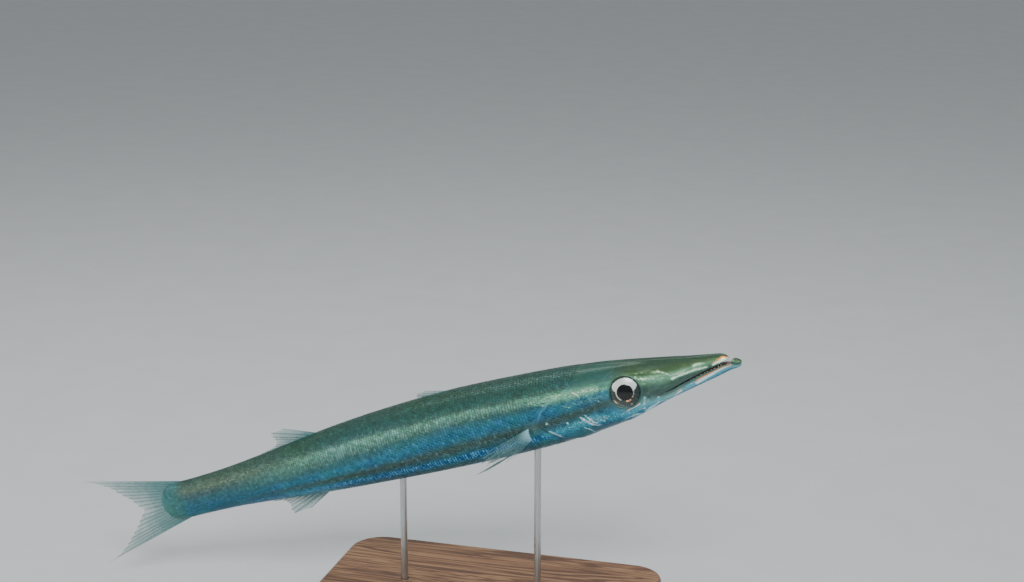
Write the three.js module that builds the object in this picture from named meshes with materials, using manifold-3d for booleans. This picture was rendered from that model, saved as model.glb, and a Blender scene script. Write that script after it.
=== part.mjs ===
// A small barracuda of the open sea, life size, as a still display model.
// It swims nose-up with its fins half folded, held by two short rods over a flat base.
// Millimetres, +Z up, head towards +X. The origin is the middle of the whole model's box, on the floor.
//
// The fish has a frame of its own: its nose points to +X and the origin is the middle of its standard length.
// Places along it are shares of the standard length behind the tip of the lower jaw.
// Heights and widths on it are percentages of the standard length, as fish are measured.
import * as THREE from "three";
import { mergeVertices } from "three/addons/utils/BufferGeometryUtils.js";
import Module from "manifold-3d";

const wasm = await Module();
wasm.setup();

// Driving dimensions
const STANDARD_LENGTH = 286;
const PERCENT = STANDARD_LENGTH / 100;
const NOSE_UP = 18.8; // degrees
const GAP = 0.3; // between pieces that touch
const TAIL_SWING = { from: 0.6, over: 0.5, sideways: -4.4 }; // the tail beats towards the fish's right

// Outline of the body at its landmarks: back and belly, half width, the height at which it is widest,
// and how square its section is above and below that height (2 is an ellipse).
const BODY = [
  { at: 0.0, back: 0.0, belly: -0.44, half: 0.22, widest: -0.22, over: 2, under: 2 }, // tip of the lower jaw
  { at: 0.002, back: 0.28, belly: -0.7, half: 0.42, widest: -0.22, over: 2, under: 2 },
  { at: 0.0065, back: 0.46, belly: -0.88, half: 0.56, widest: -0.18, over: 2, under: 2 },
  { at: 0.02, back: 1.65, belly: -1.03, half: 0.74, widest: 0.42, over: 2, under: 2 }, // tip of the upper jaw
  { at: 0.045, back: 2.2, belly: -1.6, half: 1.12, widest: 0.15, over: 2, under: 2 },
  { at: 0.09, back: 2.95, belly: -2.5, half: 1.75, widest: -0.75, over: 2.1, under: 2 },
  { at: 0.128, back: 3.55, belly: -3.3, half: 2.25, widest: -1.5, over: 2.3, under: 2 }, // mouth's corner
  { at: 0.185, back: 4.45, belly: -4.8, half: 3.0, widest: -0.2, over: 2.7, under: 2 }, // eye
  { at: 0.23, back: 5.12, belly: -5.45, half: 3.75, widest: -0.3, over: 2.4, under: 2 },
  { at: 0.28, back: 5.65, belly: -5.93, half: 4.35, widest: -0.5, over: 2.2, under: 2 },
  { at: 0.33, back: 5.95, belly: -6.15, half: 4.7, widest: -0.4, over: 2.15, under: 2.05 }, // gill opening
  { at: 0.4, back: 6.25, belly: -6.25, half: 4.9, widest: -0.2, over: 2.15, under: 2.1 },
  { at: 0.475, back: 6.4, belly: -6.2, half: 4.95, widest: 0, over: 2.15, under: 2.1 },
  { at: 0.575, back: 6.1, belly: -5.95, half: 4.7, widest: 0, over: 2.1, under: 2.1 },
  { at: 0.68, back: 5.4, belly: -5.45, half: 4.1, widest: 0, over: 2.1, under: 2.1 },
  { at: 0.78, back: 4.4, belly: -4.6, half: 3.2, widest: 0, over: 2.1, under: 2.1 },
  { at: 0.84, back: 3.75, belly: -3.95, half: 2.6, widest: 0, over: 2.1, under: 2.1 },
  { at: 0.89, back: 3.35, belly: -3.5, half: 2.1, widest: 0, over: 2.1, under: 2.1 },
  { at: 0.945, back: 3.15, belly: -3.25, half: 1.6, widest: 0, over: 2.2, under: 2.2 }, // tail stalk
  { at: 0.985, back: 3.1, belly: -3.15, half: 1.15, widest: 0, over: 2.3, under: 2.3 },
  { at: 1.0, back: 2.75, belly: -2.8, half: 0.75, widest: 0, over: 2.3, under: 2.3 },
  { at: 1.012, back: 1.95, belly: -2.0, half: 0.35, widest: 0, over: 2.3, under: 2.3 }, // rounded end
  { at: 1.018, back: 0.9, belly: -0.95, half: 0.12, widest: 0, over: 2.3, under: 2.3 },
];

const SECTORS = 32;
const HEAD_RINGS = 24;
const BODY_RINGS = 21;
const HEAD_END = 0.318;
const TAIL_START = 0.708;
const STALK_END = 0.985; // where the stalk starts to round off
const END_RINGS = 4;

const MOUTH = {
  tip: 0.017, // where the upper jaw ends, behind the lower jaw's tip
  round: 0.014, // length over which the upper jaw's tip rounds off
  blunt: 0.77, // 1 rounds it as an ellipse, less makes it blunter
  corner: 0.128,
  gape: 0.45, // percent, at the front
  lip: 0.16, // percent, how far the lips stand out
  hinge: 0.212, // lower end of the cut behind the lower jaw
  bend: { along: 0.45, down: 0.36 }, // where that cut turns down, between the corner and the hinge
  chin: [
    [0.0145, 0.34],
    [0.0105, 0.5],
    [0.005, 0.56],
  ], // top of the lower jaw ahead of the upper
};
const NOSE_CUT = { wide: 10, tall: 20, steps: 10 }; // room taken from beside the upper jaw's tip

const TEETH = { rows: 7, first: 0.03, last: 0.075, longest: 0.26, thick: 0.085, inset: 0.62 };

// The eyeball is in millimetres and looks out of the side of the head, a few degrees forward and up.
const EYE = {
  at: 0.183,
  height: 0.2,
  radius: 6.9,
  dome: 2.0,
  depth: 4.4,
  pupil: 3.5,
  proud: 0.15, // how far the pupil stands out of the iris
  sunk: 0.4, // how far the whole eye sits inside the head's side
  forward: 8,
  up: 3,
  rim: { wide: 1.3, high: 0.5, deep: 2.6 },
};

const NOSTRILS = [
  { at: 0.1465, height: 1.8, radius: 0.5 },
  { at: 0.153, height: 2.0, radius: 0.7 },
];

// Side outlines of the raised plates of the head, as [share of length, height in percent].
const GILL_COVER = {
  stand: 0.5,
  thick: 1.3,
  outline: [
    [0.241, 1.9],
    [0.268, 2.5],
    [0.297, 1.95],
    [0.317, 0.7],
    [0.3285, -0.8],
    [0.322, -2.6],
    [0.305, -4.3],
    [0.277, -5.0],
    [0.25, -4.9],
    [0.2325, -4.2],
    [0.2275, -2.6],
    [0.2315, -0.9],
    [0.2365, 0.6],
  ],
};
const MAXILLA = {
  stand: 0.4,
  thick: 1,
  outline: [
    [0.084, -0.1],
    [0.11, -0.25],
    [0.139, -0.6],
    [0.1505, -1.15],
    [0.1495, -1.95],
    [0.139, -2.15],
    [0.118, -1.2],
    [0.098, -0.75],
  ],
};

// Fins. Each ray runs from a root to a tip; lengths are percent and rakes are degrees from the body's line.
const FIRST_DORSAL = {
  from: 0.43,
  to: 0.497,
  lengths: [8.6, 8.2, 6.9, 5.2, 3.4],
  rakes: [6.5, 5.5, 4.2, 3, 2],
};
const SECOND_DORSAL = {
  from: 0.7,
  to: 0.785,
  lengths: [7.6, 8.7, 7.7, 6.4, 5.3, 4.5, 4.0, 3.7, 3.6, 3.8],
  rakes: [15, 12.5, 9.5, 7, 4.5, 2, 0, -2, -3, -4],
};
const ANAL = {
  from: 0.713,
  to: 0.795,
  lengths: [6.2, 8.2, 7.4, 6.2, 5.2, 4.4, 3.9, 3.6, 3.7],
  rakes: [18, 15, 12, 9, 6, 3, 1, -1, -2],
};
const TAIL_FIN = {
  rays: 9,
  roots: { outer: 0.958, inner: 0.994 }, // the outer rays start further forward along the stalk
  rootHeight: 2.85,
  upperTip: { at: 1.151, height: 7.3 },
  lowerTip: { at: 1.165, height: 7.8 },
  notch: { at: 1.056, height: 0.08 },
  trailing: 0.62, // how hollow the trailing edge is: 1 is straight
};
const PECTORAL = {
  upper: { at: 0.336, height: -1.2 },
  lower: { at: 0.345, height: -3.3 },
  lengths: [8.6, 10.0, 10.2, 9.6, 8.6, 7.4, 6.2, 5.0],
  down: [13, 29],
  out: 13,
};
const PELVIC = {
  inner: 0.4,
  outer: 0.386,
  sideways: [1.0, 2.3],
  lengths: [5.8, 7.6, 7.2, 6.2, 5.0],
  down: 13,
  out: [2, 12],
};

const FIN = { ray: 0.5, rayTip: 0.27, web: 0.3, webTip: 0.25, sunk: 0.9, rows: 6, scallop: 0.035 };

const FIN_ROOT = 0.8; // millimetres by which the side fins' roots start inside the skin

const BASE = { length: 156, width: 92, thick: 12, corner: 14, bevel: 1.6, ahead: 7 };
const ROD = { radius: 1.6, sides: 16, inBody: 6, inBase: 7, front: 0.36, rear: 0.6 };
const CLEAR_OF_FLOOR = 6; // under the tail fin's lower tip

const { sin, cos, abs, sign, min, max } = Math;
const rad = THREE.MathUtils.degToRad;
const mix = THREE.MathUtils.lerp;

// Body shape

// A smooth curve through one column of the body's table: cubic pieces, sloped as the points beside them.
function bodyAt(key, at) {
  const last = BODY.length - 1;
  const slope = (i) => {
    const a = BODY[max(i - 1, 0)];
    const b = BODY[min(i + 1, last)];
    return (b[key] - a[key]) / (b.at - a.at);
  };
  const place = min(max(at, BODY[0].at), BODY[last].at);
  const found = BODY.findIndex((row) => row.at > place);
  const i = found < 0 ? last - 1 : found - 1;
  const [a, b] = [BODY[i], BODY[i + 1]];
  const span = b.at - a.at;
  const t = (place - a.at) / span;
  const rise = t * t * (3 - 2 * t);
  const leave = t * (1 - t) * (1 - t);
  const arrive = t * t * (t - 1);
  return a[key] + (b[key] - a[key]) * rise + span * (slope(i) * leave + slope(i + 1) * arrive);
}

// The middle line of the fish at a share of its length, which swings sideways towards the tail.
function spineAt(at) {
  const t = min(max((at - TAIL_SWING.from) / TAIL_SWING.over, 0), 1);
  return new THREE.Vector3(
    STANDARD_LENGTH * (0.5 - at),
    TAIL_SWING.sideways * PERCENT * t * t * (3 - 2 * t),
    0,
  );
}

// The direction to the fish's left at a share of its length, square to the middle line.
function leftAt(at) {
  const step = 0.002;
  const ahead = spineAt(at - step).sub(spineAt(at + step)).normalize();
  return new THREE.Vector3(-ahead.y, ahead.x, 0);
}

// A point of the middle plane, at a height in percent.
function onMiddle(at, height) {
  return spineAt(at).setZ(height * PERCENT);
}

// A point of the body's surface, grown outwards by some millimetres. Turn 0 is the back, a quarter the left.
function onBody(at, turn, grow = 0) {
  const widest = bodyAt("widest", at) * PERCENT;
  const half = bodyAt("half", at) * PERCENT + grow;
  const rise = cos(turn) >= 0;
  const reach = rise
    ? bodyAt("back", at) * PERCENT + grow - widest
    : widest - bodyAt("belly", at) * PERCENT + grow;
  const power = 2 / bodyAt(rise ? "over" : "under", at);
  const lips = at < MOUTH.corner ? MOUTH.lip * PERCENT * min(1, at / MOUTH.tip) : 0;
  const bulge = lips * Math.exp(-((cos(turn) / 0.16) ** 2));
  const sideways = sign(sin(turn)) * ((half * abs(sin(turn)) ** power) + bulge);
  const height = widest + sign(cos(turn)) * reach * abs(cos(turn)) ** power;
  return spineAt(at).addScaledVector(leftAt(at), sideways).setZ(height);
}

// The body's half width at a height, both in percent.
function halfWidthAt(at, height) {
  const widest = bodyAt("widest", at);
  const rise = height >= widest;
  const reach = rise ? bodyAt("back", at) - widest : widest - bodyAt("belly", at);
  const power = bodyAt(rise ? "over" : "under", at);
  const share = min(abs(height - widest) / reach, 1);
  return bodyAt("half", at) * (1 - share ** power) ** (1 / power);
}

// A point of the flank at a height in percent. Side is 1 on the left and -1 on the right.
function onFlank(at, height, side) {
  return onMiddle(at, height).addScaledVector(leftAt(at), side * halfWidthAt(at, height) * PERCENT);
}

// Shares of the length where the body's rings stand, closer together towards the jaw's tip.
function ringPlaces() {
  const places = [];
  for (let i = 0; i < HEAD_RINGS; i++) places.push(HEAD_END * (i / HEAD_RINGS) ** 1.5);
  for (let i = 0; i <= BODY_RINGS; i++) {
    const t = i / BODY_RINGS;
    places.push(mix(HEAD_END, STALK_END, t * (1.25 - 0.25 * t)));
  }
  const end = BODY[BODY.length - 1].at;
  for (let i = 1; i <= END_RINGS; i++) places.push(mix(STALK_END, end, sin((Math.PI / 2) * (i / END_RINGS))));
  return places;
}

// Meshes and solids

function meshOf(positions, triangles) {
  const geometry = new THREE.BufferGeometry();
  geometry.setAttribute("position", new THREE.Float32BufferAttribute(positions, 3));
  geometry.setIndex(triangles);
  return geometry;
}

// A closed skin over rings of points, with a fan at each end.
function skinOver(rings) {
  const around = rings[0].length;
  const positions = rings.flat().flatMap((p) => p.toArray());
  const triangles = [];
  for (let i = 0; i + 1 < rings.length; i++) {
    for (let j = 0; j < around; j++) {
      const [a, b] = [i * around + j, i * around + ((j + 1) % around)];
      triangles.push(a, b, a + around, b, b + around, a + around);
    }
  }
  [rings[0], rings[rings.length - 1]].forEach((ring, end) => {
    const middle = positions.length / 3;
    const centre = ring.reduce((sum, p) => sum.add(p), new THREE.Vector3()).divideScalar(around);
    positions.push(...centre.toArray());
    const first = end ? (rings.length - 1) * around : 0;
    for (let j = 0; j < around; j++) {
      const [a, b] = [first + j, first + ((j + 1) % around)];
      triangles.push(middle, ...(end ? [a, b] : [b, a]));
    }
  });
  return meshOf(positions, triangles);
}

// The whole body from jaw to tail stalk, grown outwards by some millimetres.
function bodySkin(grow = 0) {
  const turns = Array.from({ length: SECTORS }, (_, j) => (2 * Math.PI * j) / SECTORS);
  const rings = ringPlaces().map((at) => turns.map((turn) => onBody(at, turn, grow)));
  const ends = [
    [rings[0], grow],
    [rings[rings.length - 1], -grow],
  ];
  ends.forEach(([ring, shift]) => ring.forEach((p) => (p.x += shift)));
  return skinOver(rings);
}

function solidOf(geometry) {
  const bare = geometry.index ? geometry.toNonIndexed() : geometry.clone();
  bare.deleteAttribute("normal");
  bare.deleteAttribute("uv");
  const merged = mergeVertices(bare, 1e-4);
  const made = new wasm.Manifold(
    new wasm.Mesh({
      numProp: 3,
      vertProperties: merged.attributes.position.array,
      triVerts: new Uint32Array(merged.index.array),
    }),
  );
  if (made.volume() <= 0) throw new Error("a piece is inside out");
  return made;
}

// The closed surfaces of a solid, largest first.
function bodiesOf(solid) {
  return solid.decompose().sort((a, b) => b.volume() - a.volume());
}

function geometryOf(solid) {
  const { vertProperties, triVerts, numProp } = solid.getMesh();
  const positions = [];
  for (let i = 0; i < vertProperties.length; i += numProp) {
    positions.push(vertProperties[i], vertProperties[i + 1], vertProperties[i + 2]);
  }
  const geometry = meshOf(positions, Array.from(triVerts));
  geometry.computeVertexNormals();
  return geometry;
}

// A flat outline in the middle plane, run right through the fish from side to side, or through one side only.
function sideCut(outline, side = 0) {
  const reach = 30;
  const place = ([at, height]) => new THREE.Vector2(STANDARD_LENGTH * (0.5 - at), height * PERCENT);
  const shape = new THREE.Shape(outline.map(place));
  const geometry = new THREE.ExtrudeGeometry(shape, { depth: side ? reach : 2 * reach, bevelEnabled: false });
  geometry.rotateX(Math.PI / 2);
  geometry.translate(0, side < 0 ? 0 : side > 0 ? reach : reach, 0);
  return solidOf(geometry);
}

// A smooth closed outline through a few corners, moved outwards by some millimetres.
function smoothOutline(corners, grow = 0, steps = 40) {
  const curve = new THREE.CatmullRomCurve3(
    corners.map(([at, height]) => new THREE.Vector3(at * 100, height, 0)),
    true,
    "centripetal",
  );
  const middle = curve.getPoints(steps).reduce((sum, p) => sum.add(p), new THREE.Vector3());
  middle.divideScalar(steps + 1);
  return Array.from({ length: steps }, (_, i) => {
    const point = curve.getPoint(i / steps);
    const tangent = curve.getTangent(i / steps);
    const outward = new THREE.Vector3(tangent.y, -tangent.x, 0);
    if (outward.dot(point.clone().sub(middle)) < 0) outward.negate();
    point.addScaledVector(outward, grow / PERCENT);
    return [point.x / 100, point.y];
  });
}

// A thin vane over a grid of points, with its thickness given at each. Both faces have the same triangles.
function vane(columns) {
  const rows = columns[0].length;
  const positions = [];
  for (const side of [1, -1]) {
    for (const column of columns) {
      for (const { point, normal, half } of column) {
        positions.push(...point.clone().addScaledVector(normal, side * half).toArray());
      }
    }
  }
  const other = columns.length * rows;
  const triangles = [];
  for (let i = 0; i + 1 < columns.length; i++) {
    for (let j = 0; j + 1 < rows; j++) {
      const [a, b, c, d] = [i * rows + j, (i + 1) * rows + j, (i + 1) * rows + j + 1, i * rows + j + 1];
      triangles.push(a, b, c, a, c, d);
      triangles.push(other + a, other + c, other + b, other + a, other + d, other + c);
    }
  }
  const edge = [];
  for (let i = 0; i < columns.length; i++) edge.push(i * rows);
  for (let j = 1; j < rows; j++) edge.push((columns.length - 1) * rows + j);
  for (let i = columns.length - 2; i >= 0; i--) edge.push(i * rows + rows - 1);
  for (let j = rows - 2; j >= 1; j--) edge.push(j);
  edge.forEach((a, k) => {
    const b = edge[(k + 1) % edge.length];
    triangles.push(a, other + a, b, b, other + a, other + b);
  });
  return meshOf(positions, triangles);
}

// Turns a vane the right way out, whichever way its rays were listed.
function vaneSolid(columns) {
  try {
    return solidOf(vane(columns));
  } catch {
    return solidOf(vane([...columns].reverse()));
  }
}

// Fins

// Columns of a fin from its rays: each is a ridge, with a thinner web between it and the next.
// A ray is { root, tip, normal, bow }, and bow lifts its middle along a direction.
function finColumns(rays, rows = FIN.rows) {
  const lines = [];
  rays.forEach((ray, i) => {
    lines.push({ ...ray, half: [FIN.ray, FIN.rayTip] });
    const next = rays[i + 1];
    if (!next) return;
    const root = ray.root.clone().lerp(next.root, 0.5);
    const tip = ray.tip.clone().lerp(next.tip, 0.5).lerp(root, FIN.scallop);
    const normal = ray.normal.clone().lerp(next.normal, 0.5).normalize();
    lines.push({ root, tip, normal, half: [FIN.web, FIN.webTip] });
  });
  return lines.map(({ root, tip, normal, half }) =>
    Array.from({ length: rows + 1 }, (_, j) => {
      const t = j / rows;
      return { point: root.clone().lerp(tip, t), normal, half: mix(half[0], half[1], t ** 0.7) };
    }),
  );
}

// Moves the points of a middle-plane fin sideways on to the swinging middle line.
function followSpine(columns) {
  for (const column of columns) {
    for (const entry of column) {
      const at = 0.5 - entry.point.x / STANDARD_LENGTH;
      entry.point.y = spineAt(at).y;
      entry.normal = leftAt(at);
    }
  }
  return columns;
}

// A fin of the back (up = 1) or the belly (up = -1), its rays raked back from the body's own line.
function middleFin({ from, to, lengths, rakes }, up) {
  const key = up > 0 ? "back" : "belly";
  const rays = lengths.map((length, i) => {
    const at = mix(from, to, i / (lengths.length - 1));
    const root = onMiddle(at, bodyAt(key, at) - up * FIN.sunk);
    const lift = rad(rakes[i]);
    const start = onMiddle(at, bodyAt(key, at));
    const along = new THREE.Vector3(-cos(lift), 0, up * sin(lift));
    return { root, tip: start.addScaledVector(along, length * PERCENT), normal: new THREE.Vector3(0, 1, 0) };
  });
  return vaneSolid(followSpine(finColumns(rays)));
}

// One lobe of the forked tail fin: the rays fan from the tail stalk to a hollow trailing edge.
function tailLobe(up) {
  const { rays: count, roots, rootHeight, upperTip, lowerTip, notch, trailing } = TAIL_FIN;
  const tip = up > 0 ? upperTip : lowerTip;
  const rays = Array.from({ length: count }, (_, i) => {
    const t = i / (count - 1);
    const root = mix(roots.outer, roots.inner, t ** 0.5);
    const height = mix(rootHeight, 0.08, t);
    const reach = mix(tip.at, notch.at, t ** trailing);
    const end = mix(tip.height, notch.height, t);
    return {
      root: onMiddle(root, up * height),
      tip: onMiddle(reach, up * end),
      normal: new THREE.Vector3(0, 1, 0),
    };
  });
  return vaneSolid(followSpine(finColumns(rays, 8)));
}

// A pectoral fin folded back along the flank. Side is 1 on the left and -1 on the right.
function pectoralFin(side) {
  const { upper, lower, lengths, down, out } = PECTORAL;
  const rays = lengths.map((length, i) => {
    const t = i / (lengths.length - 1);
    const at = mix(upper.at, lower.at, t);
    const height = mix(upper.height, lower.height, t);
    const surface = onFlank(at, height, side);
    const dip = rad(mix(down[0], down[1], t));
    const away = rad(out);
    const along = new THREE.Vector3(-cos(dip) * cos(away), side * sin(away), -sin(dip) * cos(away));
    const root = surface.clone().addScaledVector(along, -FIN.sunk * PERCENT);
    root.addScaledVector(leftAt(at), -side * FIN_ROOT);
    return { root, tip: surface.addScaledVector(along, length * PERCENT), along };
  });
  const spread = rays[rays.length - 1].root.clone().sub(rays[0].root);
  rays.forEach((ray) => (ray.normal = new THREE.Vector3().crossVectors(ray.along, spread).normalize()));
  return vaneSolid(finColumns(rays));
}

// A pelvic fin folded back under the belly.
function pelvicFin(side) {
  const { inner, outer, sideways, lengths, down, out } = PELVIC;
  const rays = lengths.map((length, i) => {
    const t = i / (lengths.length - 1);
    const at = mix(outer, inner, t);
    const apart = mix(sideways[1], sideways[0], t);
    const under = bodyAt("widest", at) - bodyAt("belly", at);
    const power = bodyAt("under", at);
    const drop = under * (1 - (apart / bodyAt("half", at)) ** power) ** (1 / power);
    const surface = onMiddle(at, bodyAt("widest", at) - drop);
    surface.addScaledVector(leftAt(at), side * apart * PERCENT);
    const away = rad(mix(out[1], out[0], t));
    const dip = rad(down);
    const along = new THREE.Vector3(-cos(dip) * cos(away), side * cos(dip) * sin(away), -sin(dip));
    const root = surface.clone().addScaledVector(along, -FIN.sunk * PERCENT);
    root.z += FIN_ROOT;
    return { root, tip: surface.addScaledVector(along, length * PERCENT), along };
  });
  const spread = rays[rays.length - 1].root.clone().sub(rays[0].root);
  rays.forEach((ray) => (ray.normal = new THREE.Vector3().crossVectors(ray.along, spread).normalize()));
  return vaneSolid(finColumns(rays));
}

// Head

// The slit of the mouth: open a little at the front, closed at its corner, then a thin cut behind the jaw.
function mouthSlit() {
  const { tip, round, blunt, corner, gape, hinge, chin } = MOUTH;
  const thin = GAP / PERCENT;
  const nose = [];
  const upper = [];
  const lower = [];
  const steps = 10;
  const tipHeight = bodyAt("widest", tip) + gape / 2;
  const noseHeight = bodyAt("back", tip + round) + 0.1;
  for (let i = 0; i < 6; i++) {
    const t = (Math.PI / 2) * (i / 6);
    nose.push([tip + round * (1 - sin(t) ** blunt), mix(tipHeight, noseHeight, cos(t) ** blunt)]);
  }
  for (let i = 0; i <= steps; i++) {
    const at = mix(tip, corner, i / steps);
    const open = mix(gape, thin, i / steps);
    const line = bodyAt("widest", at);
    upper.push([at, line + open / 2]);
    lower.push([at, line - open / 2]);
  }
  const throat = bodyAt("belly", hinge) - 1;
  const bend = [mix(corner, hinge, MOUTH.bend.along), mix(bodyAt("widest", corner), throat, MOUTH.bend.down)];
  const front = -0.02;
  const above = 3;
  return [
    [front, above],
    [tip + round, above],
    ...nose,
    ...upper,
    [bend[0] + thin / 100, bend[1] + thin / 2],
    [hinge + thin / 100, throat],
    [hinge, throat - 0.2],
    [bend[0], bend[1] - thin / 2],
    ...lower.reverse(),
    ...chin,
    [front, chin[chin.length - 1][1]],
  ];
}

// What is cut away round the upper jaw's tip as seen from above, so that it ends in half an ellipse.
function besideNose() {
  const { tip, round } = MOUTH;
  const { wide, tall, steps } = NOSE_CUT;
  const half = (bodyAt("half", tip + round) + 0.2) * PERCENT;
  const end = STANDARD_LENGTH * (0.5 - tip);
  const back = end - round * STANDARD_LENGTH;
  const corners = [
    new THREE.Vector2(end + wide, -wide),
    new THREE.Vector2(end + wide, wide),
    new THREE.Vector2(back, wide),
  ];
  for (let i = 0; i <= steps; i++) {
    const t = Math.PI * (i / steps);
    corners.push(new THREE.Vector2(mix(back, end, sin(t)), half * cos(t)));
  }
  corners.push(new THREE.Vector2(back, -wide));
  const geometry = new THREE.ExtrudeGeometry(new THREE.Shape(corners), { depth: tall, bevelEnabled: false });
  return solidOf(geometry.translate(0, 0, -tall / 2));
}

// One row of small pointed teeth on each side of a jaw, pointing down (-1) or up (1).
function teeth(direction) {
  const made = [];
  for (const side of [1, -1]) {
    for (let i = 0; i < TEETH.rows; i++) {
      const shift = direction > 0 ? 0.5 : 0;
      const at = mix(TEETH.first, TEETH.last, (i + shift) / TEETH.rows);
      const open = mix(MOUTH.gape, GAP / PERCENT, (at - MOUTH.tip) / (MOUTH.corner - MOUTH.tip));
      const length = TEETH.longest * (i % 2 ? 0.75 : 1) * (open / MOUTH.gape) * PERCENT;
      const root = 0.3;
      const cone = new THREE.ConeGeometry(TEETH.thick * PERCENT, length + root, 5);
      cone.rotateX((direction * Math.PI) / 2);
      const gum = (bodyAt("widest", at) - (direction * open) / 2) * PERCENT;
      cone.translate(0, 0, gum + (direction * (length - root)) / 2);
      const place = spineAt(at);
      cone.translate(place.x, side * bodyAt("half", at) * TEETH.inset * PERCENT, 0);
      made.push(solidOf(cone));
    }
  }
  return made;
}

// Where the eye sits, looking out of the side of the head, a little forward and up. Local +Z looks outwards.
function eyePlace(side) {
  const { at, height, sunk, forward, up } = EYE;
  const outwards = new THREE.Vector3(sin(rad(forward)), side * cos(rad(forward)), sin(rad(up))).normalize();
  const surface = onFlank(at, height, side).addScaledVector(outwards, -sunk);
  const turn = new THREE.Quaternion().setFromUnitVectors(new THREE.Vector3(0, 0, 1), outwards);
  return new THREE.Matrix4().compose(surface, turn, new THREE.Vector3(1, 1, 1));
}

// The eyeball: a plug with a domed front, whose pupil stands a little proud.
function eyeball(grow = 0) {
  const { radius, dome, depth, pupil, proud } = EYE;
  const steps = 6;
  const profile = [[0, -depth - grow], [radius * 0.8 + grow, -depth - grow], [radius + grow, -depth * 0.5]];
  const ball = (radius * radius + dome * dome) / (2 * dome);
  for (let i = 0; i <= steps; i++) {
    const r = mix(radius, 0, i / steps);
    const high = Math.sqrt(ball * ball - r * r) - (ball - dome);
    const raised = high + (r < pupil ? proud : 0);
    profile.push([grow && i === 0 ? radius + grow : r, grow ? high + grow + 6 : raised]);
    if (grow) break;
  }
  if (grow) profile.push([0, profile[profile.length - 1][1]]);
  const points = profile.map(([r, z]) => new THREE.Vector2(r, z));
  const geometry = new THREE.LatheGeometry(points, 24);
  geometry.rotateX(Math.PI / 2);
  return geometry;
}

// A low ring round the eye, where the skin of the socket is raised.
function socketRim() {
  const { wide, high, deep } = EYE.rim;
  const inner = EYE.radius + GAP;
  const points = [new THREE.Vector2(inner, -deep), new THREE.Vector2(inner + wide, -deep)];
  for (let i = 0; i <= 4; i++) {
    const t = Math.PI * (i / 4);
    points.push(new THREE.Vector2(inner + (wide / 2) * (1 + cos(t)), high * sin(t)));
  }
  points.push(points[0].clone());
  return new THREE.LatheGeometry(points, 24).rotateX(Math.PI / 2);
}

// A raised plate that follows the side of the head, and the room that it needs in what lies under it.
function headPlate({ stand, thick, outline }, side) {
  const plate = sideCut(smoothOutline(outline), side)
    .intersect(solidOf(bodySkin(stand)))
    .subtract(solidOf(bodySkin(stand - thick)));
  const room = sideCut(smoothOutline(outline, GAP), side).subtract(solidOf(bodySkin(stand - thick - GAP)));
  return { plate: bodiesOf(plate)[0], room };
}

// Everything between two shares of the length, with no limit to the sides.
function lengthOfBody(from, to) {
  return sideCut([
    [from, 12],
    [to, 12],
    [to, -12],
    [from, -12],
  ]);
}

// Stand

// A vertical rod in the fish's own frame, from inside the belly down to inside the base.
function rodSpan(at) {
  const tilt = rad(NOSE_UP);
  const foot = onMiddle(at, bodyAt("belly", at)).applyMatrix4(new THREE.Matrix4().makeRotationY(-tilt));
  return { x: foot.x, y: foot.y, top: foot.z + ROD.inBody };
}

function rodGeometry({ x, y, top }, bottom, grow = 0) {
  const length = top - bottom + 2 * grow;
  const geometry = new THREE.CylinderGeometry(ROD.radius + grow, ROD.radius + grow, length, ROD.sides);
  geometry.rotateX(Math.PI / 2);
  return geometry.translate(x, y, (top + bottom) / 2);
}

function baseGeometry() {
  const { length, width, thick, corner, bevel } = BASE;
  const [x, y] = [length / 2 - bevel, width / 2 - bevel];
  const shape = new THREE.Shape();
  shape.moveTo(-x + corner, -y);
  shape.lineTo(x - corner, -y);
  shape.absarc(x - corner, -y + corner, corner, -Math.PI / 2, 0);
  shape.absarc(x - corner, y - corner, corner, 0, Math.PI / 2);
  shape.absarc(-x + corner, y - corner, corner, Math.PI / 2, Math.PI);
  shape.absarc(-x + corner, -y + corner, corner, Math.PI, 1.5 * Math.PI);
  const geometry = new THREE.ExtrudeGeometry(shape, {
    depth: thick - 2 * bevel,
    bevelThickness: bevel,
    bevelSize: bevel,
    bevelSegments: 2,
    curveSegments: 6,
  });
  return geometry.translate(0, 0, bevel);
}

// Materials

const LOOKS = {
  back: { color: "#5c6b55", roughness: 0.38, metalness: 0.35 },
  silver: { color: "#8fa7ad", roughness: 0.3, metalness: 0.55 },
  eye: { color: "#cfd9cf", roughness: 0.12, metalness: 0.3 },
  fin: { color: "#8fa59c", roughness: 0.45, metalness: 0.05 },
  wood: { color: "#4a3426", roughness: 0.45, metalness: 0 },
  steel: { color: "#b9bcbf", roughness: 0.3, metalness: 1 },
};

function piece(name, geometry, look) {
  const made = new THREE.Mesh(geometry, new THREE.MeshStandardMaterial(LOOKS[look]));
  made.name = name;
  return made;
}

// Assembly

const fish = new THREE.Group();
fish.rotation.y = -rad(NOSE_UP);
const noseUp = new THREE.Matrix4().makeRotationY(-rad(NOSE_UP));
const lowestTip = onMiddle(TAIL_FIN.lowerTip.at, -TAIL_FIN.lowerTip.height).applyMatrix4(noseUp);
fish.position.z = CLEAR_OF_FLOOR - lowestTip.z;
fish.updateMatrixWorld(true);
const toFish = fish.matrixWorld.clone().invert();

const rods = { front: rodSpan(ROD.front), rear: rodSpan(ROD.rear) };
const rodBottom = BASE.thick - ROD.inBase;
const rodsInFish = Object.values(rods).map((rod) => {
  const raised = { ...rod, top: rod.top + fish.position.z };
  return solidOf(rodGeometry(raised, rodBottom, GAP).applyMatrix4(toFish));
});

const body = solidOf(bodySkin());
const cut = (solid, tools) => tools.reduce((left, tool) => left.subtract(tool), solid);

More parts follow.
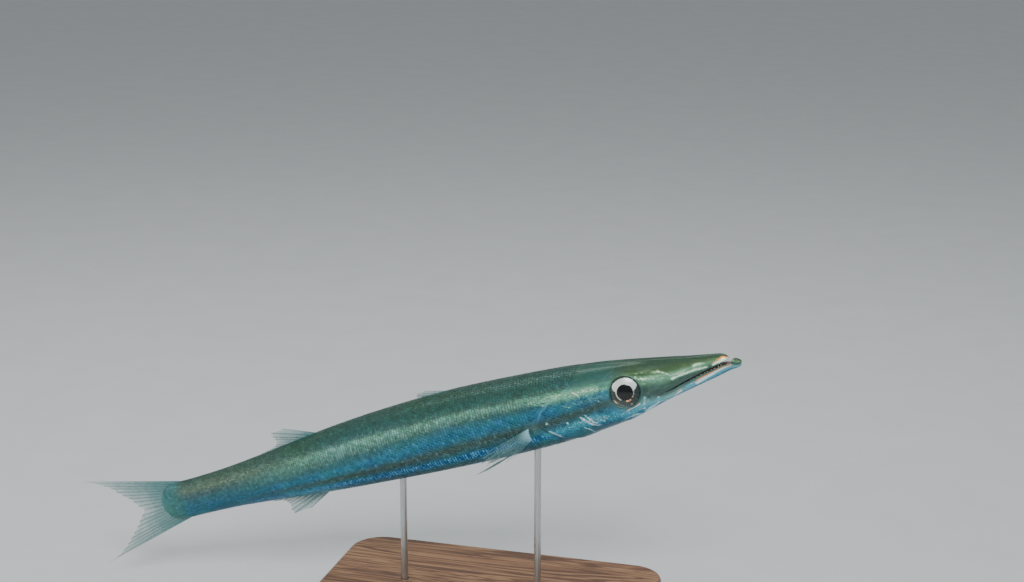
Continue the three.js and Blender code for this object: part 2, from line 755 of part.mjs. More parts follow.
const SIDES = { left: 1, right: -1 };
const covers = Object.entries(SIDES).map(([name, side]) => ({ name, ...headPlate(GILL_COVER, side) }));
const coverRooms = covers.map((cover) => cover.room);
const half = GAP / 2 / STANDARD_LENGTH;

const sockets = [];
const rims = [];
for (const side of Object.values(SIDES)) {
  sockets.push(solidOf(eyeball(GAP).applyMatrix4(eyePlace(side))));
  rims.push(solidOf(socketRim().applyMatrix4(eyePlace(side))));
}
const nostrils = Object.values(SIDES).flatMap((side) =>
  NOSTRILS.map(({ at, height, radius }) => {
    const pit = new THREE.SphereGeometry(radius, 8, 6);
    return solidOf(pit.translate(...onFlank(at, height, side).toArray()));
  }),
);
const maxillae = Object.values(SIDES).map((side) => headPlate(MAXILLA, side).plate);

const headBlock = body.intersect(lengthOfBody(-0.1, HEAD_END - half));
const slit = sideCut(mouthSlit());
const [wholeSkull, jaw] = bodiesOf(headBlock.subtract(slit));
const skull = wholeSkull.subtract(besideNose());
const head = cut(wasm.Manifold.union([skull, ...maxillae, ...rims, ...teeth(-1)]), [
  slit.subtract(wasm.Manifold.union(teeth(-1))),
  ...coverRooms,
  ...sockets,
  ...nostrils,
]);
const lowerJaw = wasm.Manifold.union([jaw, ...teeth(1)]);
const trunkBlock = body.intersect(lengthOfBody(HEAD_END + half, TAIL_START - half));
const trunk = cut(trunkBlock, [...coverRooms, ...rodsInFish]);
const tail = body.intersect(lengthOfBody(TAIL_START + half, 1.1));

const nearBody = solidOf(bodySkin(GAP));
const clearOfBody = (fin) => fin.subtract(nearBody);
const forkGap = GAP / 2 / PERCENT;
const betweenLobes = sideCut([
  [0.9, forkGap],
  [1.3, forkGap],
  [1.3, -forkGap],
  [0.9, -forkGap],
]);

const solids = {
  head: [head, "silver"],
  lower_jaw: [lowerJaw, "silver"],
  trunk: [trunk, "back"],
  tail: [tail, "back"],
  dorsal_fin_first: [clearOfBody(middleFin(FIRST_DORSAL, 1)), "fin"],
  dorsal_fin_second: [clearOfBody(middleFin(SECOND_DORSAL, 1)), "fin"],
  anal_fin: [clearOfBody(middleFin(ANAL, -1)), "fin"],
  tail_fin_upper: [clearOfBody(tailLobe(1)).subtract(betweenLobes), "fin"],
  tail_fin_lower: [clearOfBody(tailLobe(-1)).subtract(betweenLobes), "fin"],
};
for (const { name, plate } of covers) solids[`gill_cover_${name}`] = [plate, "silver"];
for (const [name, side] of Object.entries(SIDES)) {
  solids[`pectoral_fin_${name}`] = [clearOfBody(pectoralFin(side)), "fin"];
  solids[`pelvic_fin_${name}`] = [clearOfBody(pelvicFin(side)), "fin"];
}
for (const [name, [solid, look]] of Object.entries(solids)) {
  fish.add(piece(name, geometryOf(bodiesOf(solid)[0]), look));
}
for (const [name, side] of Object.entries(SIDES)) {
  const eye = piece(`eye_${name}`, eyeball(), "eye");
  eye.applyMatrix4(eyePlace(side));
  fish.add(eye);
}

const model = new THREE.Group();
model.add(fish);
const middle = (rods.front.x + rods.rear.x) / 2 + BASE.ahead;
const holes = Object.values(rods).map((rod) => solidOf(rodGeometry({ ...rod, top: 60 }, rodBottom, GAP)));
const base = cut(solidOf(baseGeometry().translate(middle, 0, 0)), holes);
model.add(piece("stand_base", geometryOf(base), "wood"));
for (const [name, rod] of Object.entries(rods)) {
  const raised = { ...rod, top: rod.top + fish.position.z };
  model.add(piece(`stand_rod_${name}`, rodGeometry(raised, rodBottom), "steel"));
}

// The origin is the middle of the box on the floor.
model.updateMatrixWorld(true);
const box = new THREE.Box3().setFromObject(model, true);
model.position.x = -(box.min.x + box.max.x) / 2;
model.position.y = -(box.min.y + box.max.y) / 2;

export default model;
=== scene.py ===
"""A small barracuda of the open sea, life size, dressed as a still display model.

The fish has a frame of its own, as its solids have: the middle of its standard length is at the
origin, its nose points to +X and its back to +Z. Places along it are shares of the standard length
behind the tip of the lower jaw. Heights and widths on it are percentages of the standard length.
Everything else is in metres.
"""

import logging
from collections.abc import Callable
from dataclasses import dataclass, field
from enum import Enum, IntEnum
from functools import partial
from math import cos, pi, radians, sin

import bpy
import numpy as np
from mathutils import Matrix, Vector


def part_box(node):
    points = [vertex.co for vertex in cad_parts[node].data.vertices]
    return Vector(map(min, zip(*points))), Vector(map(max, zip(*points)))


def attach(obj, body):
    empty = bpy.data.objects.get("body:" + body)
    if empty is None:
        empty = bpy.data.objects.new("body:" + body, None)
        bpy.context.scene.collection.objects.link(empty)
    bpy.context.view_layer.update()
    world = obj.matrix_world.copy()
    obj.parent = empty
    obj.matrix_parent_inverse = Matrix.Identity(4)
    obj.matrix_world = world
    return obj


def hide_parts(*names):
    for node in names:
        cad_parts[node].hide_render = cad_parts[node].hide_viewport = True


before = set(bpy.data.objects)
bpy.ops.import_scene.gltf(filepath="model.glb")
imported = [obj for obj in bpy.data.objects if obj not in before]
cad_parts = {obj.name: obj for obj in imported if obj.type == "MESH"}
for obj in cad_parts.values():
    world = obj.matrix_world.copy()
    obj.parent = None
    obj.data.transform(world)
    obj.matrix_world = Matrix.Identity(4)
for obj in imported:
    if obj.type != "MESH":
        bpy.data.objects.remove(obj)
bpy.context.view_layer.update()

log = logging.getLogger("barracuda")
Pair = tuple[float, float]
Triple = tuple[float, float, float]
Numbers = tuple[float, ...]
Array = np.ndarray
Piece = bpy.types.Object
Node = bpy.types.Node
Socket = bpy.types.NodeSocket

MM = 0.001
LENGTH = 0.286  # the standard length, from the lower jaw's tip to the end of the tail's bones
PERCENT = LENGTH / 100
NOSE_UP = radians(18.8)
BEHIND_HEAD = 0.34
FIN_MAP_RAYS = 32.0


class Side(IntEnum):
    """A side of the fish, by the sign of its sideways axis."""

    LEFT = 1
    RIGHT = -1


class Jaw(IntEnum):
    """A jaw, by the way from the line of the mouth."""

    UPPER = 1
    LOWER = -1


def mix(a: Array, b: Array, t: Array) -> Array:
    """The value a share t of the way from a to b."""
    return a + (b - a) * t


def ease(t: Array) -> Array:
    """A smooth step for t from 0 to 1: t squared times (3 - 2t)."""
    return t * t * (3 - 2 * t)


def rise(value: Array, middle: float | Array, width: float) -> Array:
    """A smooth step from 0 to 1 over a width about its middle."""
    return ease(np.clip((value - middle) / width + 0.5, 0, 1))


def bell(distance: Array, width: float | Array) -> Array:
    """A smooth bump: e to the minus square of the distance over the width."""
    return np.exp(-((distance / width) ** 2))


def smooth_through(places: Array, values: Array, wanted: Array) -> Array:
    """A cubic curve through points, the slope at each being that of the line between its neighbours.

    Args:
        places: rising places of the points.
        values: the curve's value at each.
        wanted: places to read, of any shape.

    Returns:
        The curve's values at the wanted places.
    """
    places, values = np.asarray(places, float), np.asarray(values, float)
    last = len(places) - 1
    before = np.maximum(np.arange(last + 1) - 1, 0)
    after = np.minimum(np.arange(last + 1) + 1, last)
    slopes = (values[after] - values[before]) / (places[after] - places[before])
    wanted = np.clip(wanted, places[0], places[-1])
    i = np.clip(np.searchsorted(places, wanted, side="right") - 1, 0, last - 1)
    span = places[i + 1] - places[i]
    t = (wanted - places[i]) / span
    through = mix(values[i], values[i + 1], ease(t))
    return through + span * (slopes[i] * t * (1 - t) ** 2 + slopes[i + 1] * t * t * (t - 1))


def mirrored(points: Array) -> Array:
    """The points, with those of the right side carried over to the left."""
    return points * [1, 0, 1] + np.abs(points) * [0, 1, 0]


def stacked(*parts: float | Array) -> Array:
    """The parts spread to one shape and set side by side along a last axis."""
    return np.stack(np.broadcast_arrays(*parts), -1)


def turned(radius: Array, angle: Array, high: Array) -> Array:
    """Points at a radius and an angle round the third axis and at a height along it."""
    return stacked(radius * np.cos(angle), radius * np.sin(angle), high)


def unit(vectors: Array) -> Array:
    """The vectors at length one."""
    return vectors / np.maximum(np.linalg.norm(vectors, axis=-1, keepdims=True), 1e-12)


@dataclass(frozen=True)
class BodyForm:
    """The smooth form of the body from the tip of the lower jaw to the stalk of the tail.

    At each place it has a back, a belly, half a width, the height where it is widest, all in percent,
    and how square it is over and under that height.
    """

    at: Numbers = (
        0.0, 0.002, 0.0065, 0.02, 0.045, 0.09, 0.128, 0.185, 0.23, 0.28, 0.33, 0.4, 0.475, 0.575, 0.68,
        0.78, 0.84, 0.89, 0.945, 0.985, 1.0, 1.012, 1.018,
    )
    back: Numbers = (
        0.0, 0.28, 0.46, 1.65, 2.2, 2.95, 3.55, 4.45, 5.12, 5.65, 5.95, 6.25, 6.4, 6.1, 5.4, 4.4, 3.75,
        3.35, 3.15, 3.1, 2.75, 1.95, 0.9,
    )
    belly: Numbers = (
        -0.44, -0.7, -0.88, -1.03, -1.6, -2.5, -3.3, -4.8, -5.45, -5.93, -6.15, -6.25, -6.2, -5.95, -5.45,
        -4.6, -3.95, -3.5, -3.25, -3.15, -2.8, -2.0, -0.95,
    )
    half: Numbers = (
        0.22, 0.42, 0.56, 0.74, 1.12, 1.75, 2.25, 3.0, 3.75, 4.35, 4.7, 4.9, 4.95, 4.7, 4.1, 3.2, 2.6, 2.1,
        1.6, 1.15, 0.75, 0.35, 0.12,
    )
    widest: Numbers = (
        -0.22, -0.22, -0.18, 0.42, 0.15, -0.75, -1.5, -0.2, -0.3, -0.5, -0.4, -0.2, 0, 0, 0, 0, 0, 0, 0, 0,
        0, 0, 0,
    )
    over: Numbers = (
        2, 2, 2, 2, 2, 2.1, 2.3, 2.7, 2.4, 2.2, 2.15, 2.15, 2.15, 2.1, 2.1, 2.1, 2.1, 2.1, 2.2, 2.3, 2.3,
        2.3, 2.3,
    )
    under: Numbers = (
        2, 2, 2, 2, 2, 2, 2, 2, 2, 2, 2.05, 2.1, 2.1, 2.1, 2.1, 2.1, 2.1, 2.1, 2.2, 2.3, 2.3, 2.3, 2.3,
    )
    swing_from: float = 0.6
    swing_over: float = 0.5
    swing: float = -4.4

    def row(self, name: str, at: Array) -> Array:
        """One measure of the outline at places along the body, in percent."""
        return smooth_through(self.at, getattr(self, name), at)

    def spine(self, at: Array) -> Array:
        """Points of the middle line, which swings sideways by a smooth step towards the tail."""
        at = np.asarray(at, float)
        t = np.clip((at - self.swing_from) / self.swing_over, 0, 1)
        sideways = self.swing * PERCENT * ease(t)
        return stacked(LENGTH * (0.5 - at), sideways, 0.0)

    def left(self, at: Array) -> Array:
        """Directions to the fish's left, square to the middle line."""
        ahead = unit(self.spine(np.asarray(at) - 0.002) - self.spine(np.asarray(at) + 0.002))
        return stacked(-ahead[..., 1], ahead[..., 0], 0.0)

    def point(self, at: Array, height: Array, sideways: Array = 0.0) -> Array:
        """Points at places along the body, at heights and sideways of its middle line, in percent."""
        points = self.spine(at) + self.left(at) * np.asarray(sideways * PERCENT)[..., None]
        points[..., 2] = height * PERCENT
        return points

    def beyond(self, at: Array, above: Array) -> tuple[Array, Array]:
        """How far the outline reaches from its widest height, up or down, and how square it is there.

        Args:
            at: places along the body.
            above: true for the upper half.

        Returns:
            The reaches in percent and the powers.
        """
        widest = self.row("widest", at)
        reach = np.where(above, self.row("back", at) - widest, widest - self.row("belly", at))
        return reach, np.where(above, self.row("over", at), self.row("under", at))

    def section(self, at: Array, turn: Array) -> Array:
        """Points of the plain form: an ellipse made squarer by a power, apart above and below.

        Args:
            at: places along the body.
            turn: angles from the back, a quarter turn being the left side.

        Returns:
            Points in the fish's frame, in metres.
        """
        reach, square = self.beyond(at, np.cos(turn) >= 0)
        power = 2 / square
        sideways = self.row("half", at) * np.sign(np.sin(turn)) * np.abs(np.sin(turn)) ** power
        above = reach * np.sign(np.cos(turn)) * np.abs(np.cos(turn)) ** power
        return self.point(at, self.row("widest", at) + above, sideways)

    def half_at(self, at: Array, height: Array) -> Array:
        """Half the body's width at a height, both in percent."""
        above = height - self.row("widest", at)
        reach, power = self.beyond(at, above >= 0)
        share = np.clip(np.abs(above) / reach, 0, 1)
        return self.row("half", at) * (1 - share**power) ** (1 / power)

    def on_flank(self, at: Array, height: Array, side: Side) -> Array:
        """Points of the flank at a place and a height."""
        return self.point(at, height, side * self.half_at(at, height))


FORM = BodyForm()
BODY_END = FORM.at[-1]


@dataclass(frozen=True)
class Pose:
    """Where the fish is held: turned nose-up about the sideways axis, over the two rods."""

    rod: str = "stand_rod_front"
    rod_at: float = 0.36
    rod_in_body: float = 6 * MM

    def matrix(self) -> Matrix:
        """The turn and place that carry the fish's frame to the model's."""
        turn = Matrix.Rotation(-NOSE_UP, 4, "Y")
        low, high = (Vector(corner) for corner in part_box(self.rod))
        foot = FORM.point(self.rod_at, FORM.row("belly", self.rod_at))
        top = turn @ Vector(foot) + Vector((0, 0, self.rod_in_body))
        held = Vector(((low.x + high.x) / 2, (low.y + high.y) / 2, high.z))
        return Matrix.Translation(held - top) @ turn


POSE = Pose().matrix()


def to_model(points: Array) -> Array:
    """Points of the fish's frame carried to the model's."""
    matrix = np.array(POSE)
    return points @ matrix[:3, :3].T + matrix[:3, 3]


@dataclass(frozen=True)
class Eye:
    """An eye: a plug in the side of the head that looks out, a little forward and up."""

    at: float = 0.183
    height: float = 0.2
    radius: float = 6.9 * MM
    dome: float = 2.0 * MM
    depth: float = 4.4 * MM
    pupil: float = 3.65 * MM
    sunk: float = 0.4 * MM
    forward: float = radians(8)
    up: float = radians(3)

    def outwards(self, side: Side) -> Array:
        """The direction in which the eye looks."""
        way = [sin(self.forward), side * cos(self.forward), sin(self.up)]
        return unit(np.array(way))

    def centre(self, side: Side) -> Array:
        """The eye's middle, a little inside the head's side."""
        return FORM.on_flank(self.at, self.height, side) - self.sunk * self.outwards(side)

    def place(self, side: Side) -> Array:
        """The 3 by 3 turn whose third column looks out and whose second column points up."""
        out = self.outwards(side)
        across = unit(np.cross([0.0, 0.0, 1.0], out))
        return stacked(across, np.cross(out, across), out)

    def distance(self, points: Array) -> Array:
        """How far points lie from the line that each eye looks along, on their own side."""
        from_centre = mirrored(points) - self.centre(Side.LEFT)
        along = from_centre @ self.outwards(Side.LEFT)
        return np.linalg.norm(from_centre - along[..., None] * self.outwards(Side.LEFT), axis=-1)


EYE = Eye()


@dataclass(frozen=True)
class Mouth:
    """The line of the mouth: where each jaw ends, where its corner is, and how far it opens."""

    upper_tip: float = 0.017
    corner: float = 0.128
    gape: float = 0.45
    upper_round: float = 0.014
    lower_round: float = 0.003
    blunt: float = 2.6
    lip: float = 0.55 * MM
    chin_places: Numbers = (0.0, 0.006, 0.0105, 0.0145, 0.017)
    chin_heights: Numbers = (-0.02, 0.43, 0.5, 0.34, 0.12)
    chin_end: float = 0.0125

    def open_at(self, at: Array) -> Array:
        """The gap between the jaws in percent, which shrinks evenly to nothing at the corner."""
        return self.gape * np.clip((self.corner - at) / (self.corner - self.upper_tip), 0, 1.06)

    def lip_height(self, at: Array, jaw: Jaw) -> Array:
        """The height of a jaw's lip in percent."""
        line = FORM.row("widest", at) + jaw * self.open_at(at) / 2
        if jaw > 0:
            return line
        return np.where(at < self.upper_tip, smooth_through(self.chin_places, self.chin_heights, at), line)

    def lip_turn(self, at: Array, jaw: Jaw) -> Array:
        """The angle at which the plain form reaches the lip's height."""
        above = self.lip_height(at, jaw) - FORM.row("widest", at)
        reach, power = FORM.beyond(at, above > 0)
        share = np.clip(np.abs(above) / reach, 0, 0.985) ** (power / 2)
        return np.arccos(np.sign(above) * share)

    def roundness(self, at: Array, jaw: Jaw) -> Array:
        """How far the section has opened behind the jaw's tip, as a quarter of a blunt ellipse."""
        tip, span = (self.upper_tip, self.upper_round) if jaw > 0 else (0.0, self.lower_round)
        behind = np.clip((tip + span - at) / span, 0, 1)
        return (1 - behind**self.blunt) ** (1 / self.blunt)


MOUTH = Mouth()


@dataclass(frozen=True)
class GillCover:
    """The bony flap over the gills: its free edge, and the fold of the cheek ahead of it.

    Edges are given as places (shares of the length) at falling heights in percent.
    """

    edge_heights: Numbers = (-6.4, -5.3, -4.3, -2.6, -0.8, 0.7, 1.95, 2.6, 3.4)
    edge_places: Numbers = (0.262, 0.284, 0.305, 0.322, 0.3285, 0.317, 0.297, 0.272, 0.236)
    cheek_heights: Numbers = (-5.2, -4.4, -3.4, -1.6, 0.4, 2.0, 3.2)
    cheek_places: Numbers = (0.188, 0.213, 0.227, 0.2325, 0.2335, 0.236, 0.231)
    lift: float = 0.62 * MM
    cheek_lift: float = 0.3 * MM

    def behind_edge(self, at: Array, height: Array) -> Array:
        """How far a place lies behind the flap's free edge, in metres."""
        return (at - smooth_through(self.edge_heights, self.edge_places, height)) * LENGTH

    def behind_cheek(self, at: Array, height: Array) -> Array:
        """How far a place lies behind the fold of the cheek, in metres."""
        return (at - smooth_through(self.cheek_heights, self.cheek_places, height)) * LENGTH

    def relief(self, at: Array, height: Array) -> Array:
        """The flap thickens slowly towards its edge and ends in a step; the cheek has a lower one."""
        inside = rise(height, -5.9, 1.2) * (1 - rise(height, 2.7, 1.0))
        past = self.behind_edge(at, height)
        flap = rise(past, -5.5 * MM, 11 * MM) * (1 - rise(past, 0, 0.55 * MM))
        crease = -0.35 * bell(past - 0.55 * MM, 0.5 * MM)
        past_cheek = self.behind_cheek(at, height)
        cheek = rise(past_cheek, -3.5 * MM, 7 * MM) * (1 - rise(past_cheek, 0, 0.5 * MM))
        cheek_inside = rise(height, -4.9, 1.0) * (1 - rise(height, 2.0, 1.6))
        strut = 0.25 * bell(height - mix(0.2, -0.8, np.clip((at - 0.235) / 0.09, 0, 1)), 0.35)
        strut = strut * rise(past, -9 * MM, 8 * MM) * (1 - rise(past, -0.4 * MM, 0.8 * MM))
        return inside * self.lift * (flap + crease + strut) + cheek_inside * self.cheek_lift * cheek


@dataclass(frozen=True)
class Ridge:
    """A low ridge with its grooves along a line on the side of the skull.

    The line is places (shares of the length) and heights (percent). Each end is the middle and the
    width of a smooth step. A crest is a height, a shift above the line and a width.
    """

    places: Numbers
    heights: Numbers
    start: Pair
    end: Pair
    crests: tuple[Triple, ...]

    def relief(self, at: Array, height: Array) -> Array:
        """The sum of the crests' bells between the two ends."""
        line = smooth_through(self.places, self.heights, at)
        along = rise(at, *self.start) * (1 - rise(at, *self.end))
        return along * sum(high * bell(height - line - up, width) for high, up, width in self.crests)


RIDGES = (
    # the snout's long ridge, with a groove under it
    Ridge(
        (0.02, 0.06, 0.11, 0.16), (0.72, 0.95, 1.0, 1.35), (0.075, 0.05), (0.158, 0.014),
        ((0.3, 0.0, 0.16), (-0.16, -0.42, 0.2)),
    ),
    # the brow over the eye
    Ridge((0.14, 0.185, 0.24, 0.3), (2.2, 2.75, 3.0, 3.1), (0.15, 0.03), (0.25, 0.08), ((0.34, 0.0, 0.32),)),
    # the bones under the eye, with a groove below them
    Ridge(
        (0.1, 0.14, 0.185, 0.22), (0.35, -1.0, -2.75, -2.6), (0.105, 0.02), (0.21, 0.02),
        ((0.28, 0.2, 0.34), (-0.18, -0.35, 0.2)),
    ),
)


@dataclass(frozen=True)
class Relief:
    """What stands out of the plain form or sinks into it, in metres along the surface's normal."""

    cover: GillCover = GillCover()
    lid: float = 0.42 * MM
    socket: float = 3.2 * MM
    bone: float = 1.3 * MM
    nostril_places: tuple[Triple, ...] = ((0.1465, 1.8, 0.42 * MM), (0.153, 2.0, 0.58 * MM))
    lateral_places: Numbers = (0.29, 0.33, 0.42, 0.55, 0.7, 1.0)
    lateral_heights: Numbers = (2.2, 1.75, 1.15, 0.6, 0.3, 0.0)

    def eye(self, points: Array) -> Array:
        """A socket that drops inside a raised lid, with a faint moat outside it."""
        away = EYE.distance(points) - EYE.radius
        lid = bell(away - 0.85 * MM, 0.55 * MM) + 0.35 * bell(away - 1.8 * MM, 0.9 * MM)
        moat = -0.3 * bell(away - 3.1 * MM, 0.7 * MM)
        socket = 1 - rise(away, 0.15 * MM, 0.45 * MM)
        return self.lid * (lid + moat) * (1 - socket) - self.socket * socket

    def nostrils(self, points: Array) -> Array:
        """Two pits a side, each with a faint rim."""
        total = np.zeros(points.shape[:-1])
        for at, height, radius in self.nostril_places:
            pit = FORM.on_flank(at, height, Side.LEFT)
            away = np.linalg.norm(mirrored(points) - pit, axis=-1)
            total += 0.22 * MM * bell(away - radius * 1.25, radius * 0.4)
            total -= 0.55 * MM * bell(away, radius * 0.8)
        return total

    def crown(self, at: Array, height: Array, sideways: Array) -> Array:
        """Two low ridges along the top of the head, with a shallow furrow between them."""
        on_top = rise(height, FORM.row("back", at) - 1.1, 0.9)
        along = rise(at, 0.08, 0.06) * (1 - rise(at, 0.235, 0.07))
        return on_top * along * (0.26 * bell(sideways - 0.62, 0.24) - 0.2 * bell(sideways, 0.32))

    def blade(self, at: Array, height: Array) -> Array:
        """The upper jaw's blade: a flat plate that widens by a power towards the mouth's corner."""
        share = np.clip((at - 0.08) / 0.068, 0, 1)
        off = np.abs(height - mix(-0.28, -1.42, share))
        along = rise(at, 0.083, 0.01) * (1 - rise(at, 0.1495, 0.0035))
        return 0.42 * along * (1 - rise(off, 0.1 + 0.62 * share**1.5, 0.2))

    def keel(self, at: Array, height: Array) -> Array:
        """The lower jaw's keel with a groove under it, and behind it the fold of the throat."""
        line, below = FORM.row("widest", at), FORM.row("belly", at)
        off = (height - mix(line, below, 0.62)) / np.maximum(line - below, 0.4)
        on_jaw = rise(at, 0.05, 0.04) * (1 - rise(at, 0.155, 0.04)) * (height < line)
        total = on_jaw * (0.22 * bell(off, 0.12) - 0.16 * bell(off + 0.2, 0.08))
        fold = height - mix(-1.5, -5.6, np.clip((at - 0.128) / 0.1, 0, 1) ** 0.8)
        behind = rise(at, 0.133, 0.012) * (1 - rise(at, 0.2, 0.03)) * np.clip((at - 0.012) / 0.17, 0, 1)
        return total + behind * (0.18 * bell(fold - 0.38, 0.24) - 0.3 * bell(fold, 0.16))

    def bones(self, at: Array, height: Array, sideways: Array) -> Array:
        """The skull's ridges, crown, blade and keel together, as shares of one height."""
        total = sum(ridge.relief(at, height) for ridge in RIDGES) + self.crown(at, height, sideways)
        return self.bone * (total + self.blade(at, height) + self.keel(at, height))

    def throat(self, at: Array, turn: Array) -> Array:
        """The gill membranes' free edges, which close in under the throat towards the chin."""
        from_belly = pi - np.abs(turn)
        edge = smooth_through([0.16, 0.2, 0.24, 0.28, 0.31], [0.04, 0.2, 0.42, 0.72, 1.0], at)
        along = rise(at, 0.168, 0.02) * (1 - rise(at, 0.3, 0.02))
        inside = 1 - rise(from_belly, edge, 0.07)
        return -0.5 * MM * along * inside * rise(from_belly, edge * 0.4, edge * 0.8 + 0.02)

    def fin_roots(self, at: Array, height: Array) -> Array:
        """A low fleshy swelling at the root of each pectoral fin."""
        along, up = (at - 0.3385) * LENGTH, (height + 2.25) * PERCENT
        lean = along * 0.94 + up * 0.34
        return 0.75 * MM * np.exp(-((lean / (2.3 * MM)) ** 2) - (up / (3.6 * MM)) ** 2)

    def lateral_line(self, at: Array, height: Array) -> Array:
        """A fine raised line of pored scales along the flank."""
        line = smooth_through(self.lateral_places, self.lateral_heights, at)
        return 0.14 * MM * bell(height - line, 0.16) * rise(at, 0.31, 0.03)

    def of(self, at: Array, turn: Array, points: Array) -> Array:
        """The whole relief at points of the plain form."""
        height = points[..., 2] / PERCENT
        sideways = np.abs(np.sum((points - FORM.spine(at)) * FORM.left(at), -1)) / PERCENT
        total = self.lateral_line(at, height) + self.fin_roots(at, height)
        on_head = self.bones(at, height, sideways) + self.cover.relief(at, height)
        on_head = on_head + self.throat(at, turn) + self.nostrils(points)
        away = EYE.distance(points)
        on_head = on_head * rise(away, EYE.radius + 1.5 * MM, 1.4 * MM)
        return total + np.where(at < BEHIND_HEAD, on_head + self.eye(points), 0)


RELIEF = Relief()


def normal_at(at: Array, turn: Array) -> Array:
    """Outward directions of the plain form: the cross product of its two slopes."""
    step = 1e-3
    along = FORM.section(at + step, turn) - FORM.section(at - step, turn)
    around = FORM.section(at, turn + 4 * step) - FORM.section(at, turn - 4 * step)
    return unit(np.cross(around, along))


def surface(at: Array, turn: Array, lift: Array | float = 0.0) -> Array:
    """Points of the fish's skin: the plain form, moved along its normal by the relief and a lift.

    Args:
        at: places along the body.
        turn: angles from the back.
        lift: extra height over the skin, in metres.

    Returns:
        Points in the fish's frame.
    """
    points = FORM.section(at, turn)
    height = RELIEF.of(at, turn, points) + lift
    return points + normal_at(at, turn) * height[..., None]


def link(name: str, data: bpy.types.ID) -> Piece:
    """Makes an object of a mesh, lamp or camera and links it to the scene."""
    made = bpy.data.objects.new(name, data)
    bpy.context.scene.collection.objects.link(made)
    return made


def quads(number: Array) -> Array:
    """The four-sided faces of a grid of point numbers."""
    corners = [number[:-1, :-1], number[:-1, 1:], number[1:, 1:], number[1:, :-1]]
    return np.stack(corners, -1).reshape(-1, 4)


@dataclass
class Shell:
    """Patches of surface gathered into one mesh and welded where their borders meet.

    Every face corner has a place on each named map, and every patch a material number.
    """

    name: str
    points: list[Array] = field(default_factory=list)
    faces: list[Array] = field(default_factory=list)
    looks: list[Array] = field(default_factory=list)
    maps: dict[str, list[Array]] = field(default_factory=dict)
    values: dict[str, list[Array]] = field(default_factory=dict)
    count: int = 0

    def add(self, points: Array, faces: Array, maps: dict[str, Array], look: int = 0) -> None:
        """Adds a patch.

        Args:
            points: an array of n points in the fish's frame.
            faces: rows of 3 or 4 point numbers, facing outwards.
            maps: for each map's name, n places on it.
            look: the number of the patch's material.
        """
        self.points.append(points.reshape(-1, 3))
        self.faces.append(faces + self.count)
        self.looks.append(np.full(len(faces), look))
        for name, places in maps.items():
            self.maps.setdefault(name, []).append(places.reshape(-1, 2)[faces].reshape(-1, 2))
        self.count += len(self.points[-1])

    def grid(
        self, points: Array, maps: dict[str, Array], closed: bool = False, flipped: bool = False,
        look: int = 0,
    ) -> None:
        """Adds a grid of rows and columns of points as four-sided faces.

        Args:
            points: an array of rows by columns by 3.
            maps: arrays of rows by columns by 2.
            closed: joins the last column to the first, whose map places it repeats.
            flipped: turns the faces over.
            look: the number of the patch's material.
        """
        if closed:
            points = np.concatenate([points, points[:, :1]], axis=1)
        rows, columns = points.shape[:2]
        number = np.arange(rows * columns).reshape(rows, columns)
        faces = quads(number)
        self.add(points, faces[:, ::-1] if flipped else faces, maps, look)

    def fan(self, ring: Array, maps: dict[str, Array], flipped: bool = False) -> None:
        """Closes a ring of points with triangles about its middle, facing along the ring's turn."""
        points = np.concatenate([ring, ring.mean(axis=0, keepdims=True)])
        places = {key: np.concatenate([m, m.mean(axis=0, keepdims=True)]) for key, m in maps.items()}
        first = np.arange(len(ring))
        after = np.roll(first, -1)
        middle = np.full(len(ring), len(ring))
        faces = np.stack([middle, after, first] if flipped else [middle, first, after], -1)
        self.add(points, faces, places)

    def build(self, weld: float = 1e-7) -> Piece:
        """Makes the mesh object, in the model's frame, with smooth shading.

        Args:
            weld: points closer together than about this become one.

        Returns:
            The new object, linked to the scene.
        """
        points = np.concatenate(self.points)
        _, kept, merged = np.unique(
            np.round(points / weld).astype(np.int64), axis=0, return_index=True, return_inverse=True,
        )
        merged = merged.reshape(-1)
        mesh = bpy.data.meshes.new(self.name)
        mesh.vertices.add(len(kept))
        mesh.vertices.foreach_set("co", to_model(points[kept]).ravel().astype(np.float32))
        sizes = np.concatenate([np.full(len(f), f.shape[1]) for f in self.faces])
        loops = merged[np.concatenate([f.ravel() for f in self.faces])]
        mesh.loops.add(len(loops))
        mesh.loops.foreach_set("vertex_index", loops.astype(np.int32))
        mesh.polygons.add(len(sizes))
        starts = np.concatenate([[0], np.cumsum(sizes)[:-1]])
        mesh.polygons.foreach_set("loop_start", starts.astype(np.int32))
        mesh.polygons.foreach_set("material_index", np.concatenate(self.looks).astype(np.int32))
        mesh.update(calc_edges=True)
        for name, parts in self.maps.items():
            layer = mesh.uv_layers.new(name=name)
            layer.uv.foreach_set("vector", np.concatenate(parts).ravel().astype(np.float32))
        for name, parts in self.values.items():
            mesh.attributes.new(name, "FLOAT", "POINT")
            mesh.attributes[name].data.foreach_set("value", np.concatenate(parts)[kept].astype(np.float32))
        mesh.polygons.foreach_set("use_smooth", np.ones(len(sizes), bool))
        mesh.validate()
        return link(self.name, mesh)


def body_map(at: Array, turn: Array) -> Array:
    """Places on the map that markings follow: share of the length, and share of the depth.

    The second number is 0 at the belly's line, 1 at the back's line and a half where the body is
    widest, which on the head is the line of the mouth.
    """
    above = FORM.section(at, turn)[..., 2] / PERCENT - FORM.row("widest", at)
    reach, _ = FORM.beyond(at, above > 0)
    share = np.clip(above / np.maximum(reach, 0.05), -1, 1)
    return stacked(at, 0.5 + 0.5 * share)


